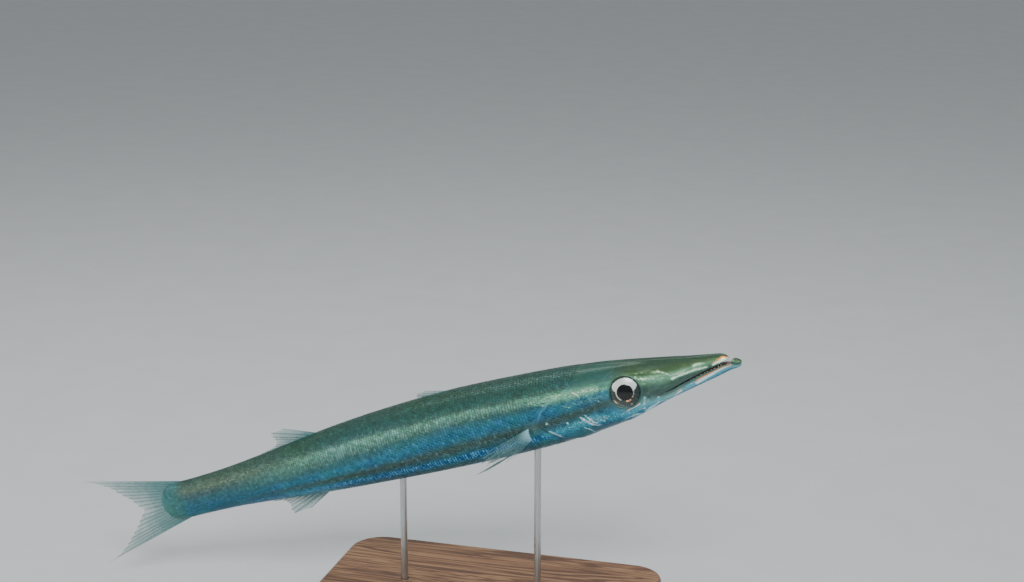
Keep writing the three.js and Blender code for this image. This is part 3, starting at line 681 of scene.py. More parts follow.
@dataclass(frozen=True)
class Gleam:
    """A painted highlight: a lit streak of the head's silvery layer, painted into the colour.

    Each stop is a place in thousandths of the length, a level of the Body map in percent, a half
    width in mm and a strength in percent.
    """

    stops: tuple[Numbers, ...]
    gold: float = 0.0

    def drawn(self) -> tuple[Array, Array, Array]:
        """The stops' places in mm along and above the middle line, their half widths and strengths."""
        at, level, width, strength = np.array(self.stops).T / [[1000], [100], [1], [100]]
        reach, _ = FORM.beyond(at, level > 0.5)
        height = FORM.row("widest", at) + (2 * level - 1) * reach
        places = stacked(at * LENGTH, height * PERCENT) / MM
        return places, width, strength

    def light(self, points: Array) -> Array:
        """How bright the painted highlight and its gold are at points, given in mm along and above the
        middle line.

        Both fall off from the nearest stretch between two stops as a bell. The gold lies above.
        """
        places, width, strength = self.drawn()
        total = np.zeros(points.shape[:-1] + (2,))
        for first in range(max(len(places) - 1, 1)):
            last = min(first + 1, len(places) - 1)
            way = places[last] - places[first]
            span = max(way @ way, 1e-9)
            share = np.clip((points - places[first]) @ way / span, 0, 1)
            wide = mix(width[first], width[last], share)
            strong = mix(strength[first], strength[last], share)
            near = places[first] + share[..., None] * way
            for channel, (above, narrow, weight) in enumerate(((0.0, 1.0, 1.0), (0.9, 0.75, self.gold))):
                off = points - near - stacked(0 * wide, above * wide)
                lit = weight * strong * bell(np.linalg.norm(off, axis=-1), narrow * wide)
                total[..., channel] = np.maximum(total[..., channel], lit)
        return total


# The head's painted highlights: streaks where its silvery skin catches the light, painted into the colour.
PAINTED_HIGHLIGHTS = (
    # the tip of the upper jaw, the lower jaw's long lit line and the blue light under it
    Gleam(((17.5, 76, 0.85, 100), (26, 71, 0.95, 100), (34, 67, 0.7, 100), (41, 63, 0.5, 80)), 0.9),
    Gleam(((14.5, 37, 0.45, 70), (30, 30, 0.6, 95), (45, 27, 0.8, 100), (58, 26, 0.9, 100)), 1.0),
    Gleam(((58, 26, 0.9, 100), (68, 22, 1.15, 100), (74, 20, 0.9, 90)), 1.0),
    Gleam(((78, 30, 0.8, 50), (90, 25, 0.8, 45))),
    Gleam(((100, 22, 0.6, 95), (106, 20, 0.5, 80), (110, 14, 0.6, 90), (116.5, 6, 0.5, 60)), 0.9),
    Gleam(((30, 12, 0.6, 38), (60, 8, 0.8, 42), (90, 10, 0.9, 40), (120, 10, 1.1, 40))),
    # streaks of the snout that run together forwards, in a paler band
    Gleam(((50, 62, 0.4, 60), (57, 64, 0.55, 75), (70, 67.5, 0.75, 95), (80, 67, 0.55, 80))),
    Gleam(((80, 67, 0.55, 80), (90, 67.5, 0.7, 90), (100, 66.5, 0.5, 70), (107, 66.5, 0.75, 100))),
    Gleam(((54, 77, 0.5, 55), (67.5, 78.5, 0.7, 90), (71, 77, 0.6, 70))),
    Gleam(((85, 73, 0.5, 60), (95, 71.5, 0.7, 80), (108, 73, 0.55, 60)), 0.35),
    Gleam(((108, 73, 0.5, 60), (118, 80, 0.5, 65), (126, 83.5, 0.65, 70), (136, 83, 0.5, 40)), 0.35),
    Gleam(((120, 73, 0.9, 50), (140, 74, 1, 55), (152, 74.5, 0.9, 65))),
    Gleam(((60, 70, 1.2, 30), (100, 70, 1.5, 34), (135, 75, 1.7, 36), (150, 75, 1.5, 30))),
    Gleam(((160.5, 79, 0.5, 65), (163, 74.5, 0.55, 75))),
    # the cheek under the eye
    Gleam(((136.5, 34, 0.7, 85),)),
    Gleam(((128, 8, 1, 60), (136, 15, 1, 60))),
    Gleam(((139, 17, 0.7, 90), (146, 10, 0.75, 95), (155, 7, 0.8, 100), (165, 4, 0.7, 90))),
    Gleam(((156, 42, 0.6, 65), (159, 30, 0.75, 65), (163, 22, 0.75, 60))),
    Gleam(((168, 27, 0.7, 95), (177, 25.5, 0.8, 100), (183, 23.5, 0.7, 95), (191, 20, 0.5, 90)), 1.0),
    Gleam(((173, 4, 0.5, 70), (180, 6, 0.8, 75), (190, 7, 0.8, 80), (198, 9, 0.6, 50))),
    Gleam(((163, 12, 0.7, 85), (168, 13, 0.6, 75)), 0.7),
    Gleam(((135, 20, 1.6, 40), (160, 18, 2, 42), (190, 16, 2.3, 42), (215, 20, 2.7, 42))),
    Gleam(((215, 20, 2.7, 42), (245, 26, 3, 50), (265, 27, 2.4, 42), (320, 25, 2, 34))),
    # behind the eye and over the gill cover
    Gleam(((213, 69, 0.8, 50), (216, 65, 0.7, 45))),
    Gleam(((222, 70, 1.3, 50), (232, 71.5, 1.5, 60), (244, 72, 1.4, 60), (256, 71.5, 1.1, 55))),
    Gleam(((254.5, 68, 0.5, 90), (258, 70.5, 0.6, 100), (262, 73, 0.5, 95))),
    Gleam(((280, 73.5, 1.1, 50), (296, 74, 1.2, 55), (310, 73, 0.9, 45))),
    Gleam(((205, 68, 1.6, 30), (230, 69, 2.6, 42), (270, 70, 2.9, 44), (330, 71, 2.2, 34))),
    Gleam(((306, 70.5, 0.5, 95),)),
    Gleam(((313, 66, 0.55, 95),)),
    Gleam(((205, 55, 1.6, 24), (230, 58, 2.2, 27), (280, 58, 2, 24))),
    Gleam(((226, 52, 0.7, 50),)),
    Gleam(((252, 58.5, 0.5, 65),)),
    # the edges of the cheek's and the gill cover's bones
    Gleam(((261.5, 37, 0.5, 80), (258, 33, 0.6, 100), (254, 27, 0.65, 90), (249, 20, 0.7, 95))),
    Gleam(((249, 20, 0.7, 95), (243, 16, 0.6, 70), (235, 14, 0.5, 60))),
    Gleam(((254, 38, 0.5, 60), (249, 30, 0.6, 80), (245, 22, 0.6, 85), (240, 19, 0.6, 70))),
    Gleam(((266, 31, 0.55, 85),)),
    Gleam(((262.5, 19, 0.5, 70), (256, 12, 0.6, 80), (254, 5, 0.5, 60))),
    Gleam(((229, 20, 0.7, 70),)),
    Gleam(((284, 34, 0.6, 95),)),
    Gleam(((316, 30, 0.45, 90), (312, 27, 0.5, 100), (305, 20, 0.45, 90), (298.5, 12, 0.4, 70))),
    Gleam(((315, 42, 0.6, 90),)),
)


def painted_highlight_map(at: Array, turn: Array) -> Array:
    """Places on the Gleam map: how bright the head's painted highlights and their gold are at each point."""
    points = stacked(at * LENGTH, FORM.section(at, turn)[..., 2]) / MM
    total = np.zeros_like(points)
    if at.min() < BEHIND_HEAD:
        for painted_highlight in PAINTED_HIGHLIGHTS:
            total = np.maximum(total, painted_highlight.light(points))
    return total


@dataclass(frozen=True)
class FlatSkin:
    """The skin laid flat for the OFBake map: its length one way and the way round it the other.

    Beside it lie strips for the linings of both jaws and for the eyelids.
    """

    edge: float = 0.01
    length: float = 0.97
    girth: float = 0.62
    upper_strip: float = 0.94
    lower_strip: float = 0.97
    strip: float = 0.02
    patch: float = 0.003

    def outside(self, at: Array, turn: Array, shift: float = 0.0) -> Array:
        """Places for the outside of the body, moved over by a shift."""
        along = self.edge + self.length * at / BODY_END
        around = (turn + pi / 2) / (2 * pi)
        return stacked(along, self.edge + shift + self.girth * around)

    def lining(self, at: Array, across: Array, jaw: Jaw) -> Array:
        """Places for the lining of the upper or lower jaw, across its strip."""
        first = self.upper_strip if jaw > 0 else self.lower_strip
        return stacked(self.edge + self.length * at / BODY_END, first + self.strip * across)

    def scales(self, at: Array, turn: Array, along: Array, across: Array) -> Array:
        """A small patch for each scale at its root's place, laid out along and across it."""
        turn = (turn + pi / 2) % (2 * pi) - pi / 2
        patch = stacked(along - 0.5, 0.5 * across)[None] * self.patch
        return self.outside(at, turn)[:, None] + patch


FLAT = FlatSkin()


def skin_maps(at: Array, turn: Array, flat: Array) -> dict[str, Array]:
    """The maps that the skin and its scales share."""
    return {"Body": body_map(at, turn), "Gleam": painted_highlight_map(at, turn), "OFBake": flat}


@dataclass
class Skin:
    """One skin over the whole fish, from both jaws to the stalk of the tail."""

    upper_columns: int = 104
    lower_columns: int = 72
    upper_rows: int = 88
    lower_rows: int = 100
    head_end: float = 0.345
    head_step: float = 0.4 * MM
    trunk_step: float = 1.25 * MM
    stalk_end: float = 0.98
    end_rows: int = 22
    lining_columns: int = 20
    tongue: float = 0.8 * MM
    jaw_shift: float = 0.005
    first_row: float = 2e-4

    def jaw(self, shell: Shell, jaw: Jaw) -> None:
        """Adds one jaw: its outer skin up to the lips, the mouth's lining and the closed tip.

        The section's scale opens behind the tip as a quarter ellipse, about a point inside the jaw.

        Args:
            shell: takes the patches.
            jaw: the jaw to add.
        """
        tip, rows = (MOUTH.upper_tip, self.upper_rows) if jaw > 0 else (0.0, self.lower_rows)
        share = np.linspace(0, 1, rows) ** 1.7
        at = mix(tip + self.first_row, MOUTH.corner, share)[:, None]
        lip = MOUTH.lip_turn(at, jaw)
        columns = self.upper_columns if jaw > 0 else self.lower_columns
        across = np.linspace(0, 1, columns + 1)[None, :]
        turn = mix(-lip, lip, across) if jaw > 0 else mix(lip, 2 * pi - lip, across)
        height = FORM.section(at, turn)[..., 2]
        from_lip = np.abs(height - MOUTH.lip_height(at, jaw) * PERCENT)
        closing = 1 - rise(at, MOUTH.corner - 0.012, 0.024)
        roll = MOUTH.lip * bell(from_lip - 0.45 * MM, 0.6 * MM) * closing
        outer = surface(at, turn, roll)
        edge = FORM.row("back" if jaw > 0 else "belly", at)
        middle = FORM.point(at, mix(MOUTH.lip_height(at, jaw), edge, 0.5 if jaw > 0 else 0.35))
        outer = middle + (outer - middle) * MOUTH.roundness(at, jaw)[..., None]
        flat = skin_maps(at, turn, FLAT.outside(at, turn, 0.0 if jaw > 0 else self.jaw_shift))
        shell.grid(outer, flat)
        right, left = (outer[:, 0], outer[:, -1]) if jaw > 0 else (outer[:, -1], outer[:, 0])
        t = np.linspace(0, 1, self.lining_columns + 1)[None, :, None]
        lining = mix(right[:, None], left[:, None], t)
        depth = 0.4 * (edge - MOUTH.lip_height(at, jaw)) * PERCENT * MOUTH.roundness(at, jaw) * closing
        hollow = rise(at, MOUTH.chin_end + 0.006, 0.01)
        lining[..., 2] += depth * hollow * np.sin(pi * t[..., 0]) ** 0.6
        on_tongue = bell(t[..., 0] - 0.5, 0.17) * rise(at, 0.06, 0.02) * closing
        lining[..., 2] += self.tongue * on_tongue * (jaw < 0)
        beside = body_map(at, lip + 0 * t[..., 0])
        inside = {"Body": beside, "Gleam": 0 * beside, "OFBake": FLAT.lining(at, t[..., 0], jaw)}
        chin = int(np.sum(at < MOUTH.chin_end)) if jaw < 0 else 0
        for first, last, look in ((0, chin, 0), (chin, rows - 1, 1)):
            part = slice(first, last + 1)
            shell.grid(lining[part], {k: m[part] for k, m in inside.items()}, flipped=jaw > 0, look=look)
        back_way = lining[0, 1:-1][::-1] if jaw > 0 else lining[0, 1:-1]
        ring = np.concatenate([outer[0], back_way])
        maps = {key: np.broadcast_to(m[0, 0], (len(ring), 2)) for key, m in flat.items()}
        shell.fan(ring, maps, flipped=True)

    def trunk(self, shell: Shell) -> None:
        """Adds the body behind the mouth's corner, with fine rows on the head, and closes its end."""
        head_rows = round((self.head_end - MOUTH.corner) * LENGTH / self.head_step)
        body_rows = round((self.stalk_end - self.head_end) * LENGTH / self.trunk_step)
        quarter = pi / 2
        head = np.linspace(MOUTH.corner, self.head_end, head_rows, endpoint=False)
        body = np.linspace(self.head_end, self.stalk_end, body_rows, endpoint=False)
        end = mix(self.stalk_end, BODY_END, np.sin(np.linspace(0, quarter, self.end_rows)))
        at = np.concatenate([head, body, end])[:, None]
        over = np.linspace(-quarter, quarter, self.upper_columns, endpoint=False)
        under = np.linspace(quarter, 3 * quarter, self.lower_columns, endpoint=False)
        turn = np.concatenate([over, under])[None, :]
        round_about = np.append(turn, 3 * quarter)[None, :]
        points = surface(at, turn)
        maps = skin_maps(at, round_about, FLAT.outside(at, round_about))
        shell.grid(points, maps, closed=True)
        ends = {key: m[-1, :-1] for key, m in maps.items()}
        shell.fan(points[-1], ends)

    def eyelids(self, shell: Shell) -> None:
        """Adds a smooth ring of skin round each eye, over the edge of its socket."""
        around = np.linspace(0, 2 * pi, 97)[None, :]
        tube = np.linspace(0, 2 * pi, 13)[:, None]
        for side in Side:
            place, centre = EYE.place(side), EYE.centre(side)
            reach = EYE.radius + 0.52 * MM + 0.5 * MM * np.cos(tube)
            high = -0.35 * MM + 0.85 * MM * np.sin(tube)
            points = turned(reach, around, high) @ place.T + centre
            share = 0.62 + 0.21 * np.sin(around)
            body = stacked(EYE.at, share + 0 * tube)
            beside = stacked(0.004 * tube, 0 * around)
            flat = FLAT.lining(0.35 + 0.05 * side, around / 7, Jaw.UPPER) + beside
            shell.grid(points, {"Body": body, "Gleam": 0 * body, "OFBake": flat}, flipped=side > 0)

    def make(self) -> Piece:
        """Builds the skin as one mesh."""
        shell = Shell("skin")
        self.jaw(shell, Jaw.UPPER)
        self.jaw(shell, Jaw.LOWER)
        self.trunk(shell)
        self.eyelids(shell)
        return shell.build()


@dataclass
class Coat:
    """Overlapping scales in staggered rows over the skin, each a thin closed plate.

    A plate's outline is narrow at its root and round at its free edge. It is sunk at the root,
    bulges a little in the middle and stands clear of the skin at the free edge.
    """

    around: int = 72
    pitch_front: float = 1.32 * MM
    pitch_rear: float = 1.02 * MM
    overlap: float = 1.9
    spread: float = 0.66
    lift: float = 0.11 * MM
    along_steps: Numbers = (0.0, 0.32, 0.62, 0.86, 1.0)
    widths: Numbers = (0.62, 0.95, 1.0, 0.8, 0.42)
    heights: Numbers = (-0.55, 0.25, 0.8, 1.0, 0.86)
    across_steps: Numbers = (-1.0, -0.5, 0.0, 0.5, 1.0)
    seed: int = 7

    def pitch(self, at: Array) -> Array:
        """The spacing of the rows, which shrinks evenly over the rear half."""
        return mix(self.pitch_front, self.pitch_rear, np.clip((at - 0.45) / 0.55, 0, 1))

    def nape(self, height: Array) -> Array:
        """The place where scales begin, at heights in percent: behind the gill flap and the nape."""
        heights = [-6.5, -5.8, -4.3, -2.6, -0.8, 0.7, 1.95, 2.7, 3.6, 4.6, 6.4]
        places = [0.262, 0.285, 0.3105, 0.3275, 0.3335, 0.3225, 0.3035, 0.285, 0.262, 0.246, 0.236]
        return smooth_through(heights, places, height)

    def rings(self, start: float, end: float) -> Array:
        """Places of the rows, whose spacing shrinks evenly from front to rear."""
        fine = np.linspace(start, end, 2000)
        number = np.concatenate([[0], np.cumsum(np.diff(fine) * LENGTH / self.pitch(fine)[1:])])
        return np.interp(np.arange(0, number[-1]), number, fine)

    def lattice(self, start: float, end: float, around: int) -> tuple[Array, Array]:
        """Roots in staggered rows, each moved a little by a seeded draw."""
        draw = np.random.default_rng(self.seed)
        at = self.rings(start, end)[:, None]
        row = np.arange(len(at))[:, None]
        turn = 2 * pi * (np.arange(around)[None, :] + 0.5 * (row % 2)) / around
        turn = (turn + draw.normal(0, 0.035, turn.shape) * 2 * pi / around + pi) % (2 * pi)
        at = at + draw.normal(0, 0.05, turn.shape) * self.pitch_front / LENGTH
        return at.ravel(), turn.ravel() - pi

    def body_roots(self) -> tuple[Array, Array]:
        """Roots of the body's scales, from the nape to the stalk of the tail."""
        at, turn = self.lattice(0.237, 1.004, self.around)
        height = FORM.section(at, turn)[..., 2] / PERCENT
        keep = at > self.nape(height) + 0.0015
        return at[keep], turn[keep]

    def cheek_roots(self) -> tuple[Array, Array]:
        """Roots of the smaller scales on the cheeks and gill covers."""
        small = Coat(pitch_front=1.12 * MM, pitch_rear=1.12 * MM, seed=self.seed + 1)
        at, turn = small.lattice(0.2, 0.335, 84)
        points = FORM.section(at, turn)
        height = points[..., 2] / PERCENT
        cover = RELIEF.cover
        keep = (cover.behind_edge(at, height) < -1.9 * MM) & (height > -4.4) & (height < 1.9)
        keep &= EYE.distance(points) > EYE.radius + 3.3 * MM
        keep &= np.abs(cover.behind_cheek(at, height) + 0.3 * MM) > 0.75 * MM
        return at[keep], turn[keep]

    def template(self) -> tuple[Array, Array]:
        """One plate: its points as (along, across, height), and its faces.

        The upper sheet is a full grid. The lower sheet shares its rim and has inner points lower.
        """
        rows, columns = len(self.along_steps), len(self.across_steps)
        along = np.repeat(self.along_steps, columns)
        across = np.tile(self.across_steps, rows) * np.repeat(self.widths, columns)
        height = np.repeat(self.heights, columns) * (1 - 0.45 * np.tile(self.across_steps, rows) ** 2)
        number = np.arange(rows * columns).reshape(rows, columns)
        inner = number[1:-1, 1:-1].ravel()
        below = number.copy()
        below[1:-1, 1:-1] = rows * columns + np.arange(len(inner)).reshape(rows - 2, columns - 2)
        points = stacked(along, across, height)
        under = points[inner] - np.array([0, 0, 0.75])
        faces = np.concatenate([quads(number), quads(below)[:, ::-1]])
        return np.concatenate([points, under]), faces

    def plates(self, name: str, at: Array, turn: Array, scale: float = 1.0) -> Piece:
        """Builds the scales with these roots as one joined mesh.

        Args:
            name: the piece's name.
            at: the roots' places along the body.
            turn: the roots' angles from the back.
            scale: size beside the body's scales.

        Returns:
            The piece.
        """
        draw = np.random.default_rng(self.seed + 2)
        plate, faces = self.template()
        near = FORM.section(at, turn + 0.02) - FORM.section(at, turn - 0.02)
        speed = np.linalg.norm(near, axis=-1) / 0.04
        pitch = self.pitch(at) * scale
        gap = speed * 2 * pi / self.around if scale == 1 else pitch * 1.15
        size = draw.normal(1, 0.05, at.shape)
        length = pitch * self.overlap * size / LENGTH
        half = gap * self.spread * size / speed
        lean = draw.normal(0, 0.06, at.shape)
        along, across, height = plate.T
        place = at[:, None] + along * length[:, None]
        around = turn[:, None] + (across + lean[:, None] * along) * half[:, None]
        tilt = draw.normal(1, 0.18, at.shape)
        lift = self.lift * (height * np.where(height > 0, tilt[:, None], 1)) * min(scale * 1.1, 1)
        points = surface(place, around, lift)
        glint = np.repeat(draw.random(at.shape), len(plate))
        shell = Shell(name)
        number = (faces[None] + (np.arange(len(at)) * len(plate))[:, None, None]).reshape(-1, 4)
        own = np.broadcast_to(stacked(along, 0.5 + 0.5 * across), points.shape[:2] + (2,))
        maps = skin_maps(place, around, FLAT.scales(at, turn, along, across))
        shell.add(points, number, maps | {"Scale": own})
        shell.values["Glint"] = [glint]
        return shell.build(weld=1e-10)

    def make(self) -> list[Piece]:
        """Builds the coat in stretches, so that each mesh stays small."""
        at, turn = self.body_roots()
        made = []
        ends = (0.0, 0.36, 0.48, 0.6, 0.72, 0.85, 1.1)
        for number, (low, high) in enumerate(zip(ends[:-1], ends[1:]), 1):
            part = (at >= low) & (at < high)
            made.append(self.plates(f"scales_body_{number}", at[part], turn[part]))
        cheek_at, cheek_turn = self.cheek_roots()
        made.append(self.plates("scales_cheeks", cheek_at, cheek_turn, 0.62))
        return made


@dataclass
class Teeth:
    """Small pointed teeth in one row along each side of both jaws, where the mouth stands open."""

    per_side: int = 10
    first: float = 0.027
    last: float = 0.084
    longest: float = 0.8 * MM
    thick: float = 0.2 * MM
    inset: float = 0.55 * MM
    sides: int = 6
    seed: int = 3

    def cone(self) -> tuple[Array, Array]:
        """One tooth of length and thickness one: a slightly hooked cone with a closed foot."""
        high = np.array([-0.6, 0.0, 0.45, 0.8])[:, None]
        wide = np.array([1.0, 0.95, 0.62, 0.28])[:, None]
        angle = 2 * pi * np.arange(self.sides)[None, :] / self.sides
        hook = 0.25 * np.clip(high, 0, 1) ** 2
        rings = turned(wide, angle, high)
        rings[..., 0] -= hook * 2
        points = np.concatenate([rings.reshape(-1, 3), [[0, 0, -0.6], [-0.5, 0, 1.0]]])
        number = np.arange(4 * self.sides).reshape(4, self.sides)
        after = np.roll(number, -1, axis=1)
        walls = [
            stacked(number[:-1], after[:-1], after[1:]).reshape(-1, 3),
            stacked(number[:-1], after[1:], number[1:]).reshape(-1, 3),
        ]
        foot = stacked(after[0], number[0], 4 * self.sides)
        top = stacked(number[-1], after[-1], 4 * self.sides + 1)
        return points, np.concatenate(walls + [foot, top])

    def make(self) -> Piece:
        """Builds every tooth as one joined mesh."""
        draw = np.random.default_rng(self.seed)
        points, faces = self.cone()
        shell = Shell("teeth")
        for jaw in Jaw:
            for side in Side:
                shift = 0.5 if jaw < 0 else 0.0
                at = mix(self.first, self.last, (np.arange(self.per_side) + shift) / self.per_side)
                at = at + draw.normal(0, 0.0006, at.shape)
                room = MOUTH.open_at(at) * PERCENT
                length = np.minimum(self.longest, room * 0.5) * draw.uniform(0.65, 1.0, at.shape)
                height = MOUTH.lip_height(at, jaw)
                half = FORM.half_at(at, height) * MOUTH.roundness(at, jaw) - self.inset / PERCENT
                root = FORM.point(at, height, side * half)
                size = stacked(self.thick, self.thick, -jaw * length)
                local = points[None] * size[:, None]
                placed = (root[:, None] + local).reshape(-1, 3)
                start = (np.arange(len(at)) * len(points))[:, None, None]
                number = (faces[None] + start).reshape(-1, 3)
                number = number if jaw < 0 else number[:, ::-1]
                shell.add(placed, number, {"Tooth": np.tile(points[:, [0, 2]], (len(at), 1))})
        return shell.build(weld=1e-10)


@dataclass
class EyePieces:
    """The eyeball with its iris and bulging pupil, under a clear dome."""

    iris_high: float = 0.75 * MM
    lens_high: float = 1.4 * MM
    columns: int = 96

    def lathe(self, name: str, profile: Array, side: Side) -> Piece:
        """Turns a profile about the line that the eye looks along.

        Args:
            name: the piece's name.
            profile: rows of radius and height, from the front to the back or the other way.
            side: the side of the fish.

        Returns:
            The piece, closed at both ends.
        """
        angle = np.linspace(0, 2 * pi, self.columns + 1)[None, :]
        local = turned(profile[:, :1], angle, profile[:, 1:])
        points = local @ EYE.place(side).T + EYE.centre(side)
        face = 0.5 + 0.5 * local[..., :2] / EYE.radius
        face = np.where(np.array([side < 0, False]), 1 - face, face)
        shell = Shell(name)
        shell.grid(points, {"Eye": face})
        shell.fan(points[0, :-1], {"Eye": face[0, :-1]}, flipped=True)
        shell.fan(points[-1, :-1], {"Eye": face[-1, :-1]})
        return shell.build()

    def ball(self, name: str, side: Side) -> Piece:
        """The eyeball: a rounded plug, a gently domed iris and a more domed lens in its middle."""
        edge = EYE.radius - 0.08 * MM
        back = np.array([[0.7 * edge, -EYE.depth], [0.92 * edge, -0.65 * EYE.depth], [edge, -1.0 * MM]])
        radius = np.linspace(edge, EYE.pupil, 26)
        share = (edge - radius) / (edge - EYE.pupil)
        iris = stacked(radius, mix(-0.35 * MM, self.iris_high, share**0.72))
        inner = np.linspace(EYE.pupil - 0.03 * MM, 0.1 * MM, 18)
        bulge = np.sqrt(1 - (inner / EYE.pupil) ** 2 * 0.985)
        lens = stacked(inner, mix(self.iris_high - 0.05 * MM, self.lens_high, bulge))
        return self.lathe(name, np.concatenate([back, iris, lens])[::-1], side)

    def dome(self, name: str, side: Side) -> Piece:
        """The clear cornea: part of a sphere over the iris, closed behind it."""
        sphere = (EYE.radius**2 + EYE.dome**2) / (2 * EYE.dome)
        radius = np.linspace(0.1 * MM, EYE.radius, 24)
        high = np.sqrt(sphere**2 - radius**2) - (sphere - EYE.dome)
        front = stacked(radius, high)
        back = np.array([[EYE.radius, -0.5 * MM]])
        return self.lathe(name, np.concatenate([front, back]), side)


@dataclass(frozen=True)
class Rays:
    """The bony rays of a fin, from their roots to their tips, and the fin's own normal at each."""

    roots: Array
    tips: Array
    normals: Array


class Fin:
    """A fin that stands for one solid of its own name, or for those that it lists.

    Its roots start sunk in the body by a length in percent, and those at the side inside its skin.
    """

    name: str
    solids: tuple[str, ...] = ()
    lengths: Numbers
    silver: float = 0.0
    sunk: float = 0.9
    inside: float = 0.8 * MM

    def rays(self) -> Rays:
        """The fin's rays, in order."""
        raise NotImplementedError

    def from_skin(self, start: Array, along: Array, inwards: Array) -> Rays:
        """Rays of a paired fin: its normals are square to each ray and to the line of the roots.

        Args:
            start: where the rays leave the skin.
            along: their directions.
            inwards: the way into the body from there.

        Returns:
            The rays, with their roots sunk in the body.
        """
        roots = start - along * self.sunk * PERCENT + inwards * self.inside
        tips = start + along * (np.array(self.lengths) * PERCENT)[:, None]
        return Rays(roots, tips, unit(np.cross(along, roots[-1] - roots[0])))


class Edge(Enum):
    """Which edge of the body a fin of the middle plane grows from."""

    BACK = 1
    BELLY = -1


@dataclass(frozen=True)
class MiddleFin(Fin):
    """A fin of the back or belly: where it starts and ends, ray lengths in percent, rakes in degrees."""

    name: str
    edge: Edge
    start: float
    end: float
    lengths: Numbers
    rakes: Numbers

    def rays(self) -> Rays:
        """Rays that rise from the body's edge at their rakes and lean back along it."""
        up, count = self.edge.value, len(self.lengths)
        at = np.linspace(self.start, self.end, count)
        edge = FORM.row("back" if up > 0 else "belly", at)
        lift, length = np.radians(self.rakes), np.array(self.lengths)
        tip_at = at + np.cos(lift) * length / 100
        roots = FORM.point(at, edge - up * self.sunk)
        tips = FORM.point(tip_at, edge + up * np.sin(lift) * length)
        return Rays(roots, tips, FORM.left(tip_at))


@dataclass(frozen=True)
class TailFin(Fin):
    """The forked tail fin: one sheet of rays that fan from the tail's stalk to a hollow edge."""

    name: str = "tail_fin"
    solids: tuple[str, ...] = ("tail_fin_upper", "tail_fin_lower")
    upper_tip: Pair = (1.151, 7.3)
    lower_tip: Pair = (1.165, 7.8)
    notch: Pair = (1.056, 0.08)
    per_lobe: int = 10
    roots: Pair = (0.958, 0.994)
    root_height: float = 2.85
    trailing: float = 0.62

    def rays(self) -> Rays:
        """Rays from the upper tip to the lower: each one's reach falls by a power towards the notch."""
        t = np.linspace(0, 1, self.per_lobe)
        t = np.concatenate([t, t[::-1]])
        up = np.repeat([1, -1], self.per_lobe)
        tip_at, tip_height = np.repeat([self.upper_tip, self.lower_tip], self.per_lobe, axis=0).T
        roots = FORM.point(mix(*self.roots, t**0.5), up * mix(self.root_height, 0.08, t))
        reach = mix(tip_at, self.notch[0], t**self.trailing)
        tips = FORM.point(reach, up * mix(tip_height, self.notch[1], t))
        return Rays(roots, tips, FORM.left(reach))


@dataclass(frozen=True)
class PectoralFin(Fin):
    """A pectoral fin folded back along the flank and a little away from it."""

    name: str
    side: Side
    places: Pair = (0.336, 0.345)
    heights: Pair = (-1.2, -3.3)
    lengths: Numbers = (8.6, 10.0, 10.2, 9.6, 8.6, 7.4, 6.2, 5.0)
    down: Pair = (13, 29)
    out: float = 13
    silver: float = 1.0

    def rays(self) -> Rays:
        """Rays that leave the flank backwards, ever more downwards from the upper to the lower."""
        t = np.linspace(0, 1, len(self.lengths))
        at = mix(*self.places, t)
        dip, away = np.radians(mix(*self.down, t)), radians(self.out)
        back, down = -np.cos(dip) * cos(away), -np.sin(dip) * cos(away)
        along = stacked(back, self.side * sin(away), down)
        start = FORM.on_flank(at, mix(*self.heights, t), self.side)
        return self.from_skin(start, along, -self.side * FORM.left(at))


@dataclass(frozen=True)
class PelvicFin(Fin):
    """A pelvic fin folded back under the belly."""

    name: str
    side: Side
    places: Pair = (0.386, 0.4)
    sideways: Pair = (2.3, 1.0)
    lengths: Numbers = (5.8, 7.6, 7.2, 6.2, 5.0)
    down: float = 13
    out: Pair = (12, 2)

    def rays(self) -> Rays:
        """Rays that leave the belly backwards and down, fanning outwards from the inner one."""
        t = np.linspace(0, 1, len(self.lengths))
        at, apart = mix(*self.places, t), mix(*self.sideways, t)
        under, power = FORM.beyond(at, False)
        drop = under * (1 - (apart / FORM.row("half", at)) ** power) ** (1 / power)
        start = FORM.point(at, FORM.row("widest", at) - drop, self.side * apart)
        away, dip = np.radians(mix(*self.out, t)), radians(self.down)
        back, out = -cos(dip) * np.cos(away), self.side * cos(dip) * np.sin(away)
        along = stacked(back, out, -sin(dip))
        return self.from_skin(start, along, np.array([0, 0, 1]))


